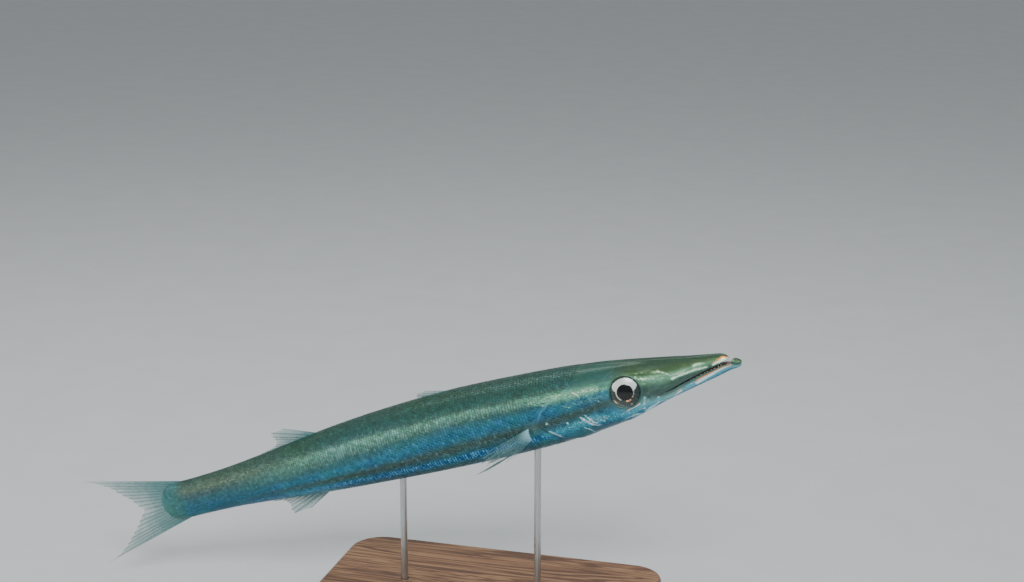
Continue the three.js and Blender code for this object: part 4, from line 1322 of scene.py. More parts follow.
@dataclass
class FinBuilder:
    """Builds fins as thin closed vanes: a membrane with the rays raised on both of its faces."""

    web: float = 0.055 * MM
    ray: float = 0.26 * MM
    between: int = 10
    rows: int = 30
    scallop: float = 0.035
    wave: float = 0.35 * MM

    def thickness(self, across: Array, along: Array) -> Array:
        """Half the vane's thickness: a thin web, and rays that fork in two beyond their middle.

        Args:
            across: ray numbers, with fractions between the rays.
            along: shares of the way from root to tip.

        Returns:
            Half thicknesses in metres.
        """
        off = across - np.round(across)
        fork = 0.17 * rise(along, 0.62, 0.5)
        narrow = mix(0.15, 0.085, rise(along, 0.5, 0.6))
        ridge = np.maximum(bell(off - fork, narrow), bell(off + fork, narrow))
        notched = 1 - 0.22 * bell((along * 46) % 1 - 0.5, 0.16) * rise(along, 0.35, 0.2)
        return self.web + self.ray * ridge * mix(1.0, 0.26, along) * notched

    def build(self, name: str, rays: Rays, silver: float) -> Piece:
        """Builds one fin, whose skin near its root is silvery by a share, painted pale as a highlight.

        The surface runs straight between neighbouring rays and waves a little across them, by a sine
        that grows towards the tips. Its edge is drawn in between the rays.

        Args:
            name: the piece's name.
            rays: the fin's rays.
            silver: the share.

        Returns:
            The piece.
        """
        count = len(rays.roots)
        across = np.linspace(0, count - 1, (count - 1) * self.between + 1)[:, None]
        along = np.linspace(0, 1, self.rows + 1)[None, :]

        def between(values: Array) -> Array:
            """Rows of values read between the rays."""
            ray = np.arange(count)
            return np.stack([np.interp(across[:, 0], ray, values[:, k]) for k in range(3)], -1)

        roots, tips, normals = between(rays.roots), between(rays.tips), unit(between(rays.normals))
        drawn_in = 1 - self.scallop * np.abs(np.sin(pi * across)) ** 0.8
        reach = along * drawn_in
        points = mix(roots[:, None], tips[:, None], reach[..., None])
        swell = self.wave * along**1.5 * np.sin(across * 1.9 + along * 2.2)
        half = self.thickness(across, along)
        border = np.zeros(half.shape, bool)
        border[[0, -1], :] = True
        border[:, [0, -1]] = True
        half = np.where(border, 0, half)
        maps = {"Fin": stacked(across / FIN_MAP_RAYS, along)}
        facing = np.cross(tips[0] - roots[0], roots[-1] - roots[0]) @ normals[0] > 0
        shell = Shell(name)
        for side in Side:
            lifted = points + normals[:, None] * (swell + side * half)[..., None]
            shell.grid(lifted, maps, flipped=(side > 0) == facing)
        shell.values["Silver"] = [np.full(shell.count, silver)]
        return shell.build()


FINS = (
    MiddleFin("dorsal_fin_first", Edge.BACK, 0.43, 0.497, (8.6, 8.2, 6.9, 5.2, 3.4), (6.5, 5.5, 4.2, 3, 2)),
    MiddleFin(
        "dorsal_fin_second", Edge.BACK, 0.7, 0.785, (7.6, 8.7, 7.7, 6.4, 5.3, 4.5, 4.0, 3.7, 3.6, 3.8),
        (15, 12.5, 9.5, 7, 4.5, 2, 0, -2, -3, -4),
    ),
    MiddleFin(
        "anal_fin", Edge.BELLY, 0.713, 0.795, (6.2, 8.2, 7.4, 6.2, 5.2, 4.4, 3.9, 3.6, 3.7),
        (18, 15, 12, 9, 6, 3, 1, -1, -2),
    ),
    TailFin(),
    *(PectoralFin(f"pectoral_fin_{side.name.lower()}", side) for side in Side),
    *(PelvicFin(f"pelvic_fin_{side.name.lower()}", side) for side in Side),
)


Stops = dict[float, str]
Value = float | Numbers | str | Node | Socket
Add = Callable[..., Node]
RGBA = {"data_type": "RGBA"}
SMOOTH = {"interpolation_type": "SMOOTHSTEP"}
PLUS = {"operation": "ADD"}
MINUS = {"operation": "SUBTRACT"}
TIMES = {"operation": "MULTIPLY"}
TIMES_PLUS = {"operation": "MULTIPLY_ADD"}


def linear(colour: str) -> tuple[float, float, float, float]:
    """A colour given as sRGB hex, such as #4f6556, as linear numbers with full alpha."""
    parts = [int(colour[i : i + 2], 16) / 255 for i in (1, 3, 5)]
    return (*(p / 12.92 if p <= 0.04045 else ((p + 0.055) / 1.055) ** 2.4 for p in parts), 1.0)


def add_node(
    tree: bpy.types.NodeTree, kind: str, *inputs: Value, stops: Stops | None = None, **named: object
) -> Node:
    """Adds a node with its settings and links.

    Args:
        tree: the node tree of a material or of the world.
        kind: the node's kind, after the words ShaderNode.
        inputs: what the inputs in use take, in their order: a value, an sRGB hex colour, another node,
            whose first output in use is taken, or an output. Noise and cells take their place, scale,
            detail and roughness, in this order.
        stops: the places and colours of a colour ramp, rising.
        named: inputs by their names, with _ for a space, and the node's properties, which are small.

    Returns:
        The new node.
    """
    made = tree.nodes.new("ShaderNode" + kind)
    for key, value in named.items():
        if key.islower():
            setattr(made, key, value)
    if stops:
        elements = made.color_ramp.elements
        elements[0].position, *between, elements[-1].position = stops
        for position in between:
            elements.new(position)
        for element, colour in zip(elements, stops.values()):
            element.color = linear(colour)
    used = [socket for socket in made.inputs if socket.enabled]
    by_name = {socket.name.replace(" ", "_"): socket for socket in reversed(used)}
    asked = [(by_name[key], value) for key, value in named.items() if not key.islower()]
    for socket, value in [*zip(used, inputs), *asked]:
        if isinstance(value, Node):
            value = next(output for output in value.outputs if output.enabled)
        if isinstance(value, Socket):
            tree.links.new(value, socket)
        else:
            socket.default_value = linear(value) if isinstance(value, str) else value
    return made


# Each ramp runs from the belly's line (0) to the back's line (1), on the flank through a silvery colour
# darkened with painted shade at the belly's line, a bright dotted line, a dusky stripe, the blue band, a
# dark line and the sheen, a paler band that is partly a painted highlight, to the olive back.
FLANK: Stops = {
    0.0: "#5a8790", 0.08: "#417c8d", 0.17: "#3c88a0", 0.24: "#4293ae", 0.3: "#397f96", 0.36: "#3b737f",
    0.41: "#426767", 0.45: "#465f5a", 0.49: "#3e696c", 0.53: "#367083", 0.57: "#2f7892", 0.62: "#337d93",
    0.655: "#397782", 0.685: "#407170", 0.71: "#4b7d73", 0.735: "#5a9282", 0.765: "#5d9984", 0.8: "#467064",
    0.84: "#32615a", 0.9: "#2d5a51", 1.0: "#285144",
}
# On the snout the pale band low on the lower jaw (0.2 to 0.3) is a painted highlight along the jaw's lit
# streak.
SNOUT: Stops = {
    0.0: "#1c607f", 0.1: "#3c8ca8", 0.2: "#7bbfc6", 0.3: "#78aaa2", 0.4: "#5a7f78", 0.47: "#49655d",
    0.55: "#415b53", 0.62: "#486a5b", 0.68: "#639272", 0.75: "#6a9570", 0.81: "#52704a", 0.87: "#3f5838",
    0.93: "#314e37", 1.0: "#2a4938",
}
TAIL: Stops = {
    0.1: "#2c6a7e", 0.3: "#2d6b7d", 0.45: "#367079", 0.55: "#41696b", 0.65: "#54706a", 0.75: "#637b66",
    0.85: "#4f6959", 1.0: "#35554a",
}


@dataclass(frozen=True)
class Markings:
    """The living fish's colours with painted highlights and shade, read from the Body map and shared by the
    skin and its scales.

    From the gill cover on the stripes sink evenly towards the belly, the sheen, partly a painted highlight,
    and the silvery belly less so.
    """

    fin_root: str = "#437d7c"
    sinks_from: float = 0.25
    sinks: float = 0.46

    def colour(self, add: Add) -> tuple[Node, Node, Node]:
        """Adds the markings' nodes.

        Returns:
            The colour, how silvery the place is from 0 to 1, and the place on the ramps.
        """
        body = add("SeparateXYZ", add("UVMap", uv_map="Body"))
        along, depth = body.outputs[0], body.outputs[1]
        place = add("TexCoord").outputs["Object"]
        cloud = add("TexNoise", place, 1 / (8 * MM), 4.0)
        moved = add("Math", cloud, 0.05, -0.025, **TIMES_PLUS)
        behind = add("Math", along, self.sinks_from, **MINUS)
        behind = add("Math", behind, 0.0, operation="MAXIMUM")
        low = add("MapRange", depth, 0.1, 0.3, 0.4, 1.0)
        high = add("MapRange", depth, 0.45, 0.75, self.sinks, 0.15 * self.sinks)
        share = add("Math", low, high, **TIMES)
        sunk = add("Math", behind, share, depth, **TIMES_PLUS)
        level = add("Math", sunk, moved, **PLUS)
        plain = add("Math", depth, moved, **PLUS)
        flank, snout, tail = (
            add("ValToRGB", read, stops=stops)
            for read, stops in ((level, FLANK), (level, SNOUT), (plain, TAIL))
        )
        on_tail = add("MapRange", along, 0.68, 0.92, **SMOOTH)
        on_snout = add("MapRange", along, 0.215, 0.165, **SMOOTH)
        body_colour = add("Mix", on_tail, flank, tail, **RGBA)
        on_end = add("MapRange", along, 0.965, 0.995, **SMOOTH)
        ended = add("Mix", on_end, body_colour, self.fin_root, **RGBA)
        whole = add("Mix", on_snout, ended, snout, **RGBA)
        # The head's painted highlights go over the mottled colour.
        mottled = self.lit(add, self.mottle(add, whole, place, depth), place, depth)
        silvery = add("ValToRGB", level, stops={
            0.0: "#d8d8d8", 0.3: "#c8c8c8", 0.6: "#a0a0a0", 0.75: "#8c8c8c", 0.95: "#4c4c4c",
        })
        return mottled, silvery, level

    def lit(self, add: Add, colour: Node, place: Socket, depth: Socket) -> Node:
        """The head's painted highlights: a tinted fringe strewn with beads, a pearly core and gold above."""
        painted_highlight = add("SeparateXYZ", add("UVMap", uv_map="Gleam"))
        drawn = add("Mapping", Vector=place, Rotation=(0.0, NOSE_UP, 0.0), Scale=(0.4, 1.0, 1.0))
        ragged = add("TexNoise", drawn, 1 / (0.55 * MM), 5.0, 0.65)
        moved = add("Math", ragged, 1.1, -0.55, **TIMES_PLUS)
        cells = add("TexVoronoi", drawn, 1 / (0.7 * MM))
        beads = add("MapRange", cells, 0.34, 0.14)
        beaded = add("MapRange", painted_highlight, 0.18, 0.48, 0.0, 0.5)
        strewn = add("Math", beads, beaded, moved, **TIMES_PLUS)
        silver = add("Math", painted_highlight, strewn, **PLUS)
        gold = add("Math", painted_highlight.outputs[1], moved, **PLUS)
        fringe = add("MapRange", silver, 0.12, 0.45, 0.0, 0.8, **SMOOTH)
        core = add("MapRange", silver, 0.48, 0.78, 0.0, 0.97, **SMOOTH)
        golden = add("MapRange", gold, 0.3, 0.7, 0.0, 0.85, **SMOOTH)
        tint = add("ValToRGB", depth, stops={
            0.0: "#2f93b8", 0.35: "#55bfce", 0.5: "#6faaa6", 0.7: "#7cc6a4", 0.9: "#93a878",
        })
        pearl = add("ValToRGB", depth, stops={
            0.0: "#b9ecf8", 0.3: "#effdff", 0.5: "#f4fbf0", 0.7: "#e2fbd8", 0.9: "#e6eecb",
        })
        fringed = add("Mix", fringe, colour, tint, **RGBA)
        gilded = add("Mix", golden, fringed, "#ef9236", **RGBA)
        return add("Mix", core, gilded, pearl, **RGBA)

    def mottle(self, add: Add, colour: Node, place: Socket, depth: Socket) -> Node:
        """Faint clouds, drifting hues and, on the back, pin-point pigment spots 0.5 mm apart."""
        clouds = add("TexNoise", place, 1 / (2.2 * MM), 5.0)
        shade = add("MapRange", clouds, 0.3, 0.7, 0.86, 1.14)
        drift = add("TexNoise", place, 1 / (14 * MM), 2.0)
        hue = add("MapRange", drift, 0.3, 0.7, 0.478, 0.522)
        tinted = add("HueSaturation", Hue=hue, Value=shade, Color=colour)
        cells = add("TexVoronoi", place, 1 / (0.5 * MM))
        dot = add("MapRange", cells, 0.32, 0.18)
        above = add("MapRange", depth, 0.62, 0.9)
        spots = add("Math", dot, above, **TIMES)
        faint = add("Math", spots, 0.45, **TIMES)
        return add("Mix", faint, tinted, "#26322b", **RGBA)


class Finish:
    """A material made of nodes round one principled surface.

    Its methods take the function that adds a node, already with the material's tree.
    """

    name = "finish"

    def make(self) -> bpy.types.Material:
        """Makes the material, or gives the one made before."""
        if self.name in bpy.data.materials:
            return bpy.data.materials[self.name]
        material = bpy.data.materials.new(self.name)
        material.use_nodes = True
        material.node_tree.nodes.clear()
        add = partial(add_node, material.node_tree)
        add("OutputMaterial", self.surface(add))
        return material

    def surface(self, add: Add) -> Node:
        """Adds the nodes and returns the shader."""
        raise NotImplementedError


@dataclass(frozen=True)
class WetSkin(Finish):
    """Smooth wet skin of the head: mirror-like crystals under pigment, which gives a soft metal glow."""

    name: str = "wet_silver_skin"
    markings: Markings = Markings()

    def surface(self, add: Add) -> Node:
        """Markings over a pored, faintly wrinkled skin, shiniest where it is silvery."""
        colour, silvery, _ = self.markings.colour(add)
        place = add("TexCoord").outputs["Object"]
        metal = add("MapRange", silvery, 0.0, 1.0, 0.2, 0.75)
        patches = add("TexNoise", place, 1 / (1.5 * MM), 6.0)
        rough = add("MapRange", patches, 0.3, 0.7, 0.3, 0.5)
        pores = add("TexVoronoi", place, 1 / (0.42 * MM), feature="SMOOTH_F1")
        wrinkles = add("TexNoise", place, 1 / (0.9 * MM), 6.0)
        relief = add("Math", pores, 0.35, wrinkles, **TIMES_PLUS)
        bump = add("Bump", Height=relief, Strength=0.4, Distance=0.12 * MM)
        return add(
            "BsdfPrincipled", Base_Color=colour, Metallic=metal, Roughness=rough, Normal=bump, IOR=1.4,
            Coat_Weight=0.2, Coat_Roughness=0.16, Coat_IOR=1.34,
        )


@dataclass(frozen=True)
class ScalePlate(Finish):
    """Thin bony scales with a silvery underside, which glint one by one as their angles differ, partly as
    painted glints in each scale's brightness.
    """

    name: str = "silvery_fish_scale"
    markings: Markings = Markings()

    def surface(self, add: Add) -> Node:
        """Markings, a brightness of its own for each scale as a painted glint, a dark free rim and fine
        growth rings.
        """
        colour, silvery, level = self.markings.colour(add)
        own = add("SeparateXYZ", add("UVMap", uv_map="Scale"))
        glint = add("Attribute", attribute_name="Glint").outputs["Fac"]
        # Painted glints: each scale's own brightness, and a spark on the few brightest, stand for the light
        # it catches.
        value = add("MapRange", glint, 0.0, 1.0, 0.76, 1.26)
        spark = add("MapRange", glint, 0.92, 0.99, 0.0, 0.25)
        bright = add("Math", value, spark, **PLUS)
        shifted = add("MapRange", glint, 0.0, 1.0, 0.49, 0.51)
        each = add("HueSaturation", Hue=shifted, Value=bright, Color=colour)
        dashed = self.dashes(add, each, glint, level, own)
        rim = add("MapRange", own, 0.74, 0.97, **SMOOTH)
        above = add("MapRange", level, 0.3, 0.4, 0.45, 0.3)
        rimmed = add("Math", rim, above, **TIMES)
        edged = add("Mix", rimmed, dashed, "#1f3a40", **RGBA)
        metal = add("MapRange", silvery, 0.0, 1.0, 0.25, 0.85)
        rough = add("MapRange", glint, 0.0, 1.0, 0.46, 0.28)
        rings = add("Math", own, 60.0, **TIMES)
        wave = add("Math", rings, operation="SINE")
        bump = add("Bump", Height=wave, Strength=0.3, Distance=0.02 * MM)
        return add(
            "BsdfPrincipled", Base_Color=edged, Metallic=metal, Roughness=rough, Normal=bump, IOR=1.45,
            Coat_Weight=0.12, Coat_Roughness=0.2, Coat_IOR=1.34,
        )

    def dashes(self, add: Add, colour: Node, glint: Socket, level: Node, own: Node) -> Node:
        """Painted glints: bright strokes on the scales of two lines along the body, in streaks over two or
        three scales.

        Each line is a level of the ramps, a half width, how dark it is between the strokes, how strong
        these are, and the colours of both.
        """
        body = add("UVMap", uv_map="Body")
        rows = add("Mapping", Vector=body, Scale=(210.0, 7.0, 1.0))
        noise = add("TexNoise", rows, 1.0, 2.0)
        streaks = add("MapRange", noise, 0.34, 0.62, 0.0, 0.6)
        lot = add("Math", glint, 0.4, streaks, **TIMES_PLUS)
        along = add("SeparateXYZ", body)
        ahead = add("MapRange", along, 0.8, 0.68)
        behind = add("MapRange", along, 0.3, 0.345)
        ahead = add("Math", ahead, behind, **TIMES)
        starts = add("MapRange", own, 0.5, 0.62)
        ends = add("MapRange", own, 0.94, 0.82)
        stroke = add("Math", starts, ends, **TIMES)
        lit = add("MapRange", lot, 0.15, 0.85, **SMOOTH)
        struck = add("Math", stroke, lit, **TIMES)
        shown = colour
        # Each line's strokes are painted glints in its light colour, over its darker colour between them.
        for middle, wide, shade, most, between, light in (
            (0.255, 0.07, 0.8, 0.95, "#1b69ab", "#70ccff"), (0.745, 0.06, 0.0, 0.16, "#4b7d73", "#cdebd6"),
        ):
            off = add("Math", level, middle, **MINUS)
            off = add("Math", off, operation="ABSOLUTE")
            near = add("MapRange", off, wide, wide * 0.6)
            near = add("Math", near, ahead, **TIMES)
            dark = add("Math", near, shade, **TIMES)
            shown = add("Mix", dark, shown, between, **RGBA)
            here = add("Math", near, struck, **TIMES)
            here = add("Math", here, most, **TIMES)
            shown = add("Mix", here, shown, light, **RGBA)
        return shown


@dataclass(frozen=True)
class MouthLining(Finish):
    """Moist pink flesh of the mouth with a wet gloss."""

    name: str = "moist_mouth_flesh"

    def surface(self, add: Add) -> Node:
        """Blotches of pink and grey, darkened all over with painted shade, over a finely ridged palate."""
        place = add("TexCoord").outputs["Object"]
        blotches = add("TexNoise", place, 1 / (1.6 * MM), 5.0)
        # Painted shade: the flesh's colours are darkened because the inside of the mouth lies in shade.
        colour = add("ValToRGB", blotches, stops={0.3: "#5f5250", 0.5: "#86706c", 0.7: "#a08e88"})
        ridges = add("TexNoise", place, 1 / (0.6 * MM), 3.0)
        bump = add("Bump", Height=ridges, Strength=0.4, Distance=0.12 * MM)
        rough = add("MapRange", blotches, 0.0, 1.0, 0.25, 0.5)
        return add(
            "BsdfPrincipled", Base_Color=colour, Roughness=rough, Normal=bump, IOR=1.4, Coat_Weight=0.3,
        )


@dataclass(frozen=True)
class ToothEnamel(Finish):
    """Glassy ivory teeth, yellower at the root and nearly clear white at the point."""

    name: str = "ivory_tooth_enamel"

    def surface(self, add: Add) -> Node:
        """A ramp from root to tip with faint long streaks."""
        own = add("SeparateXYZ", add("UVMap", uv_map="Tooth"))
        place = add("TexCoord").outputs["Object"]
        streaks = add("TexNoise", place, 1 / (0.35 * MM), 2.0)
        moved = add("Math", streaks, 0.2, own.outputs[1], **TIMES_PLUS)
        colour = add("ValToRGB", moved, stops={0.0: "#c9b48c", 0.35: "#e3dac2", 1.0: "#f4f4ee"})
        rough = add("MapRange", streaks, 0.0, 1.0, 0.12, 0.3)
        return add("BsdfPrincipled", Base_Color=colour, Roughness=rough, IOR=1.62)


@dataclass(frozen=True)
class Iris(Finish):
    """Iris with reflecting crystals: a dazzling pearl crescent above, dusky olive below, gold glints."""

    name: str = "pearl_iris_and_pupil"
    pupil: float = EYE.pupil / EYE.radius

    def surface(self, add: Add) -> Node:
        """Rings by distance from the pupil, and the crescent by the angle from the top."""
        uv = add("UVMap", uv_map="Eye")
        centred = add("Mapping", Vector=uv, Location=(-1.0, -1.0, 0.0), Scale=(2.0, 2.0, 1.0))
        away = add("VectorMath", centred, operation="LENGTH")
        direction = add("VectorMath", centred, operation="NORMALIZE")
        threads = add("TexNoise", direction, 9.0, 6.0, 0.7)
        speckle = add("TexNoise", centred, 9.0, 6.0)
        dusk = add("ValToRGB", threads, stops={
            0.3: "#152325", 0.48: "#28393a", 0.62: "#48584e", 0.78: "#6f7a68",
        })
        towards = add("VectorMath", direction, (-0.156, 0.988, 0.0), operation="DOT_PRODUCT")
        spread = add("MapRange", towards, -0.12, 0.5, self.pupil - 0.05, 0.93, **SMOOTH)
        ragged = add("Math", threads, 0.14, -0.07, **TIMES_PLUS)
        limit = add("Math", spread, ragged, **PLUS)
        inside = add("Math", limit, away, **MINUS)
        crescent = add("MapRange", inside, -0.01, 0.05, **SMOOTH)
        pearl = add("ValToRGB", threads, stops={
            0.3: "#c8e6dc", 0.45: "#f4fffb", 0.62: "#fffff8", 0.75: "#cfe6da",
        })
        lit = add("Mix", crescent, dusk, pearl, **RGBA)
        flecked = self.flecks(add, lit, centred, speckle)
        ringed = self.rings(add, flecked, direction, away)
        in_pupil = add("MapRange", away, self.pupil + 0.012, self.pupil - 0.006)
        colour = add("Mix", in_pupil, ringed, "#030506", **RGBA)
        metal = add("MapRange", in_pupil, 0.0, 1.0, 0.45, 0.0)
        rough = add("MapRange", in_pupil, 0.0, 1.0, 0.35, 0.06)
        height = add("Mix", in_pupil, threads, 0.5, data_type="FLOAT")
        bump = add("Bump", Height=height, Strength=0.3, Distance=0.1 * MM)
        return add(
            "BsdfPrincipled", Base_Color=colour, Metallic=metal, Roughness=rough, Normal=bump, IOR=1.4,
        )

    def flecks(self, add: Add, colour: Node, centred: Node, speckle: Node) -> Node:
        """Gold flecks: a large one low at the tail's side of the rim, and a few beside the pupil."""
        shown = colour
        for x, y, wide, high, turn in (
            (0.81, -0.48, 0.27, 0.1, 1.04), (-0.02, -0.6, 0.16, 0.09, 0.1), (-0.2, -0.57, 0.07, 0.06, 0.0),
            (-0.4, -0.4, 0.05, 0.05, 0.0), (-0.2, -0.88, 0.05, 0.05, 0.0),
        ):
            placed = add(
                "Mapping", centred, (x, y, 0.0), (0.0, 0.0, turn), (wide, high, 1.0), vector_type="TEXTURE",
            )
            away = add("VectorMath", placed, operation="LENGTH")
            ragged = add("Math", speckle, 1.3, away, **TIMES_PLUS)
            rim = add("MapRange", ragged, 1.75, 1.35, 0.0, 0.95)
            core = add("MapRange", ragged, 1.3, 1.0, 0.0, 0.95)
            rimmed = add("Mix", rim, shown, "#dc7a35", **RGBA)
            shown = add("Mix", core, rimmed, "#fff3cf", **RGBA)
        return shown

    def rings(self, add: Add, colour: Node, direction: Node, away: Node) -> Node:
        """Thin pale arcs at the pupil's edge: one low towards the tail, a finer one high in front."""
        off = add("Math", away, self.pupil + 0.045, **MINUS)
        near = add("Math", off, operation="ABSOLUTE")
        shown = colour
        for way, wide, most in (((0.98, -0.2, 0.0), 0.045, 0.9), ((-1.0, 0.02, 0.0), 0.03, 0.6)):
            ring = add("MapRange", near, wide, wide * 0.4, 0.0, most)
            towards = add("VectorMath", direction, way, operation="DOT_PRODUCT")
            arc = add("MapRange", towards, 0.72, 0.88, **SMOOTH)
            here = add("Math", ring, arc, **TIMES)
            shown = add("Mix", here, shown, "#f3f5dc", **RGBA)
        return shown


@dataclass(frozen=True)
class Cornea(Finish):
    """Clear cornea: nothing of its own but a sharp wet gloss, stronger where it is seen at a slant."""

    name: str = "clear_cornea"

    def surface(self, add: Add) -> Node:
        """Gloss mixed over clearness by the Fresnel share of water and tissue."""
        share = add("Fresnel", IOR=1.38)
        strong = add("Math", share, 0.9, **TIMES, use_clamp=True)
        clear = add("BsdfTransparent", "#fbfdfc")
        gloss = add("BsdfAnisotropic", Color="#ffffff", Roughness=0.04)
        return add("MixShader", strong, clear, gloss)


@dataclass(frozen=True)
class FinMembrane(Finish):
    """Thin living membrane between bony rays: lets light through, with denser, darker rays."""

    name: str = "translucent_fin_membrane"

    def surface(self, add: Add) -> Node:
        """Rays and their branches by the Fin map, pigment dust along them, and clearer outer parts."""
        fin = add("SeparateXYZ", add("UVMap", uv_map="Fin"))
        across = add("Math", fin, FIN_MAP_RAYS, **TIMES)
        along = fin.outputs[1]
        off = add("Math", across, 1.0, operation="PINGPONG")
        centre = add("Math", off, 0.5, **MINUS)
        away = add("Math", centre, operation="ABSOLUTE")
        ray = add("MapRange", away, 0.3, 0.46, **SMOOTH)
        place = add("TexCoord").outputs["Object"]
        dust = add("TexNoise", place, 1 / (0.5 * MM), 5.0)
        cloud = add("TexNoise", place, 1 / (5 * MM), 3.0)
        web = add("ValToRGB", along, stops={
            0.0: "#437d7c", 0.35: "#558c8c", 0.8: "#86acab", 1.0: "#a4bfbd",
        })
        bone = add("ValToRGB", along, stops={0.0: "#3d6f6e", 0.5: "#4f7f7d", 1.0: "#769a97"})
        both = add("Mix", ray, web, bone, **RGBA)
        specks = add("MapRange", dust, 0.52, 0.66, 0.0, 0.5)
        dusted = add("Mix", specks, both, "#3f5650", **RGBA)
        silver = add("Attribute", attribute_name="Silver").outputs["Fac"]
        near_root = add("MapRange", along, 0.46, 0.16, 0.0, 0.9, **SMOOTH)
        silver_sheen_here = add("Math", near_root, silver, **TIMES)
        # Painted highlight: a pectoral fin's silvery root is painted pale blue-white between its rays and
        # blue on them.
        shine = add("Mix", ray, "#c6f1fc", "#6bb9d4", **RGBA)
        coated = add("Mix", silver_sheen_here, dusted, shine, **RGBA)
        fading = add("MapRange", along, 0.0, 1.0, 0.86, 0.3)
        clearer = add("MapRange", silver_sheen_here, 0.0, 1.0, -0.32, 0.1)
        thin = add("Math", silver, clearer, fading, **TIMES_PLUS)
        patchy = add("MapRange", cloud, 0.3, 0.7, -0.08, 0.08)
        webbed = add("Math", thin, patchy, **PLUS)
        solid = add("Math", ray, 0.3, **TIMES)
        alpha = add("Math", webbed, solid, **PLUS, use_clamp=True)
        rough = add("MapRange", dust, 0.0, 1.0, 0.22, 0.45)
        bump = add("Bump", Height=dust, Strength=0.25, Distance=0.05 * MM)
        return add(
            "BsdfPrincipled", Base_Color=coated, Roughness=rough, Alpha=alpha, Normal=bump, IOR=1.38,
            Coat_Weight=0.3, Coat_Roughness=0.15,
        )


@dataclass(frozen=True)
class Walnut(Finish):
    """Oiled walnut, sanded and rubbed: brown grain 1 to 3 mm wide, fine pores and a low sheen."""

    name: str = "oiled_walnut"

    def surface(self, add: Add) -> Node:
        """Grain drawn out eighteen times along the board, with pores along it."""
        place = add("TexCoord").outputs["Object"]
        drawn = add("Mapping", Vector=place, Rotation=(0.05, 0.03, 0.02), Scale=(0.055, 1.0, 1.0))
        figure = add("TexNoise", Vector=drawn, Scale=1 / (9 * MM), Detail=7.0, Distortion=0.7)
        bands = add("Math", figure, 62.0, **TIMES)
        wave = add("Math", bands, operation="SINE")
        grain = add("MapRange", wave, -1.0, 1.0, 0.15, 0.75)
        fine = add("TexNoise", drawn, 1 / (0.7 * MM), 4.0)
        tone = add("Math", fine, 0.5, grain, **TIMES_PLUS)
        colour = add("ValToRGB", tone, stops={
            0.2: "#3a261a", 0.45: "#5b3d29", 0.7: "#7c573b", 1.0: "#94704f",
        })
        pores = add("MapRange", fine, 0.62, 0.7)
        pitted = add("Mix", pores, colour, "#2a1a11", **RGBA)
        rough = add("MapRange", fine, 0.0, 1.0, 0.32, 0.55)
        bump = add("Bump", Height=fine, Strength=0.35, Distance=0.08 * MM)
        return add(
            "BsdfPrincipled", Base_Color=pitted, Roughness=rough, Normal=bump, Coat_Weight=0.2,
            Coat_Roughness=0.3,
        )


@dataclass(frozen=True)
class BrushedSteel(Finish):
    """Stainless rod brushed along its length: bright metal with soft long scratches."""

    name: str = "brushed_steel_rod"

    def surface(self, add: Add) -> Node:
        """Scratches 0.15 mm wide drawn out forty times up the rod."""
        place = add("TexCoord").outputs["Object"]
        drawn = add("Mapping", Vector=place, Scale=(1.0, 1.0, 0.025))
        scratches = add("TexNoise", drawn, 1 / (0.15 * MM), 5.0)
        colour = add("ValToRGB", scratches, stops={0.3: "#b3b6b8", 0.7: "#d3d5d4"})
        rough = add("MapRange", scratches, 0.0, 1.0, 0.2, 0.42)
        bump = add("Bump", Height=scratches, Strength=0.2, Distance=0.02 * MM)
        return add("BsdfPrincipled", Base_Color=colour, Metallic=1.0, Roughness=rough, Normal=bump)


@dataclass(frozen=True)
class PaleFloor(Finish):
    """A matt pale studio floor."""

    name: str = "pale_studio_floor"

    def surface(self, add: Add) -> Node:
        """One pale grey with a barely seen unevenness 30 mm across."""
        place = add("TexCoord").outputs["Object"]
        cloud = add("TexNoise", place, 1 / (30 * MM), 2.0)
        colour = add("ValToRGB", cloud, stops={0.3: "#c9ccce", 0.7: "#cdd0d1"})
        return add("BsdfPrincipled", Base_Color=colour, Roughness=0.75)


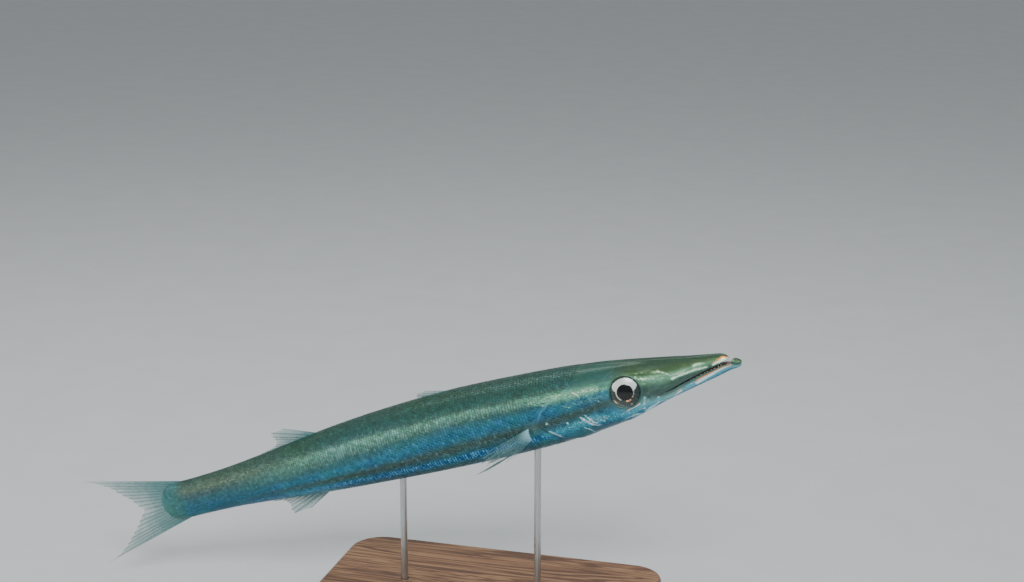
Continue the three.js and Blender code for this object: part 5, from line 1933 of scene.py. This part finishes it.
@dataclass
class Studio:
    """The floor, the soft lights and the camera at the photograph's angle."""

    floor_size: float = 8.0
    camera_offset: Triple = (256.62 * MM, -789.81 * MM, 302.26 * MM)
    yaw: float = radians(15.92)
    tilt: float = radians(15.81)
    lens: float = 67.0

    def floor(self) -> None:
        """Lays a large plain floor just under the base."""
        half = self.floor_size / 2
        low = -0.2 * MM
        corners = [(-half, -half, low), (half, -half, low), (half, half, low), (-half, half, low)]
        mesh = bpy.data.meshes.new("floor")
        mesh.from_pydata(corners, [], [(0, 1, 2, 3)])
        mesh.materials.append(PaleFloor().make())
        link("floor", mesh)

    def light(self, name: str, place: Triple, size: Pair, power: float) -> None:
        """Hangs a rectangular soft light that points at the fish."""
        lamp = bpy.data.lights.new(name, "AREA")
        lamp.shape = "RECTANGLE"
        lamp.size, lamp.size_y = size
        lamp.energy = power
        held = link(name, lamp)
        held.location = place
        aim = Vector((0.0, 0.0, 0.09)) - Vector(place)
        held.rotation_euler = aim.to_track_quat("-Z", "Y").to_euler()

    def lights(self) -> None:
        """A key from above the camera, a strip over the back, a fill and a faint pale surround."""
        self.light("key", (0.35, -0.8, 0.95), (0.5, 0.35), 9.0)
        self.light("strip", (-0.1, 0.25, 0.9), (1.1, 0.2), 4.5)
        self.light("fill", (-0.9, -0.6, 0.35), (0.7, 0.5), 3.5)
        world = bpy.data.worlds.new("surround")
        world.use_nodes = True
        world.node_tree.nodes.clear()
        add = partial(add_node, world.node_tree)
        add("OutputWorld", add("Background", "#e6ebee", 0.45))
        bpy.context.scene.world = world

    def camera(self) -> None:
        """Sets the camera at its place from the fish's middle, looking down and a little left."""
        eye = bpy.data.cameras.new("camera")
        eye.lens = self.lens
        held = link("camera", eye)
        held.location = Vector(to_model(np.zeros(3))) + Vector(self.camera_offset)
        level = cos(self.tilt)
        ahead = Vector((-sin(self.yaw) * level, cos(self.yaw) * level, -sin(self.tilt)))
        held.rotation_euler = ahead.to_track_quat("-Z", "Y").to_euler()
        bpy.context.scene.camera = held

    def build(self) -> None:
        """Sets up the whole studio."""
        self.floor()
        self.lights()
        self.camera()


def dress(piece: Piece, slot: str, finishes: list[Finish], *stands_for: str) -> None:
    """Dresses a piece, lets it ride on the model and reports it.

    Args:
        piece: the piece.
        slot: the record's material slot; not used.
        finishes: its materials by slot number.
        stands_for: the solids that it replaces.
    """
    for finish in finishes:
        piece.data.materials.append(finish.make())
    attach(piece, "root")
    if stands_for:
        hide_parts(*stands_for)
    piece.data.calc_loop_triangles()
    log.info("%s: %d triangles", piece.name, len(piece.data.loop_triangles))


def dress_stand() -> None:
    """Gives the stand's solids their wood and steel."""
    for name, finish in (
        ("stand_base", Walnut()), ("stand_rod_front", BrushedSteel()), ("stand_rod_rear", BrushedSteel()),
    ):
        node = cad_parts[name]
        node.data.materials.clear()
        node.data.materials.append(finish.make())
        log.info("%s: %s", name, finish.name)


def main() -> None:
    """Builds every piece in order and sets the studio round them."""
    logging.basicConfig(level=logging.INFO, format="%(name)s: %(message)s")
    flesh = ("head", "lower_jaw", "gill_cover_left", "gill_cover_right", "trunk", "tail")
    dress(Skin().make(), "silver_skin", [WetSkin(), MouthLining()], *flesh)
    for piece in Coat().make():
        dress(piece, "scaled_back", [ScalePlate()])
    dress(Teeth().make(), "silver_skin", [ToothEnamel()])
    eyes = EyePieces()
    for side in Side:
        word = side.name.lower()
        dress(eyes.ball(f"eyeball_{word}", side), "eye", [Iris()], f"eye_{word}")
        dress(eyes.dome(f"cornea_{word}", side), "eye", [Cornea()])
    for fin in FINS:
        vane = FinBuilder().build(f"{fin.name}_vane", fin.rays(), fin.silver)
        dress(vane, "fin", [FinMembrane()], *(fin.solids or (fin.name,)))
    dress_stand()
    Studio().build()


if __name__ == "__main__":
    main()
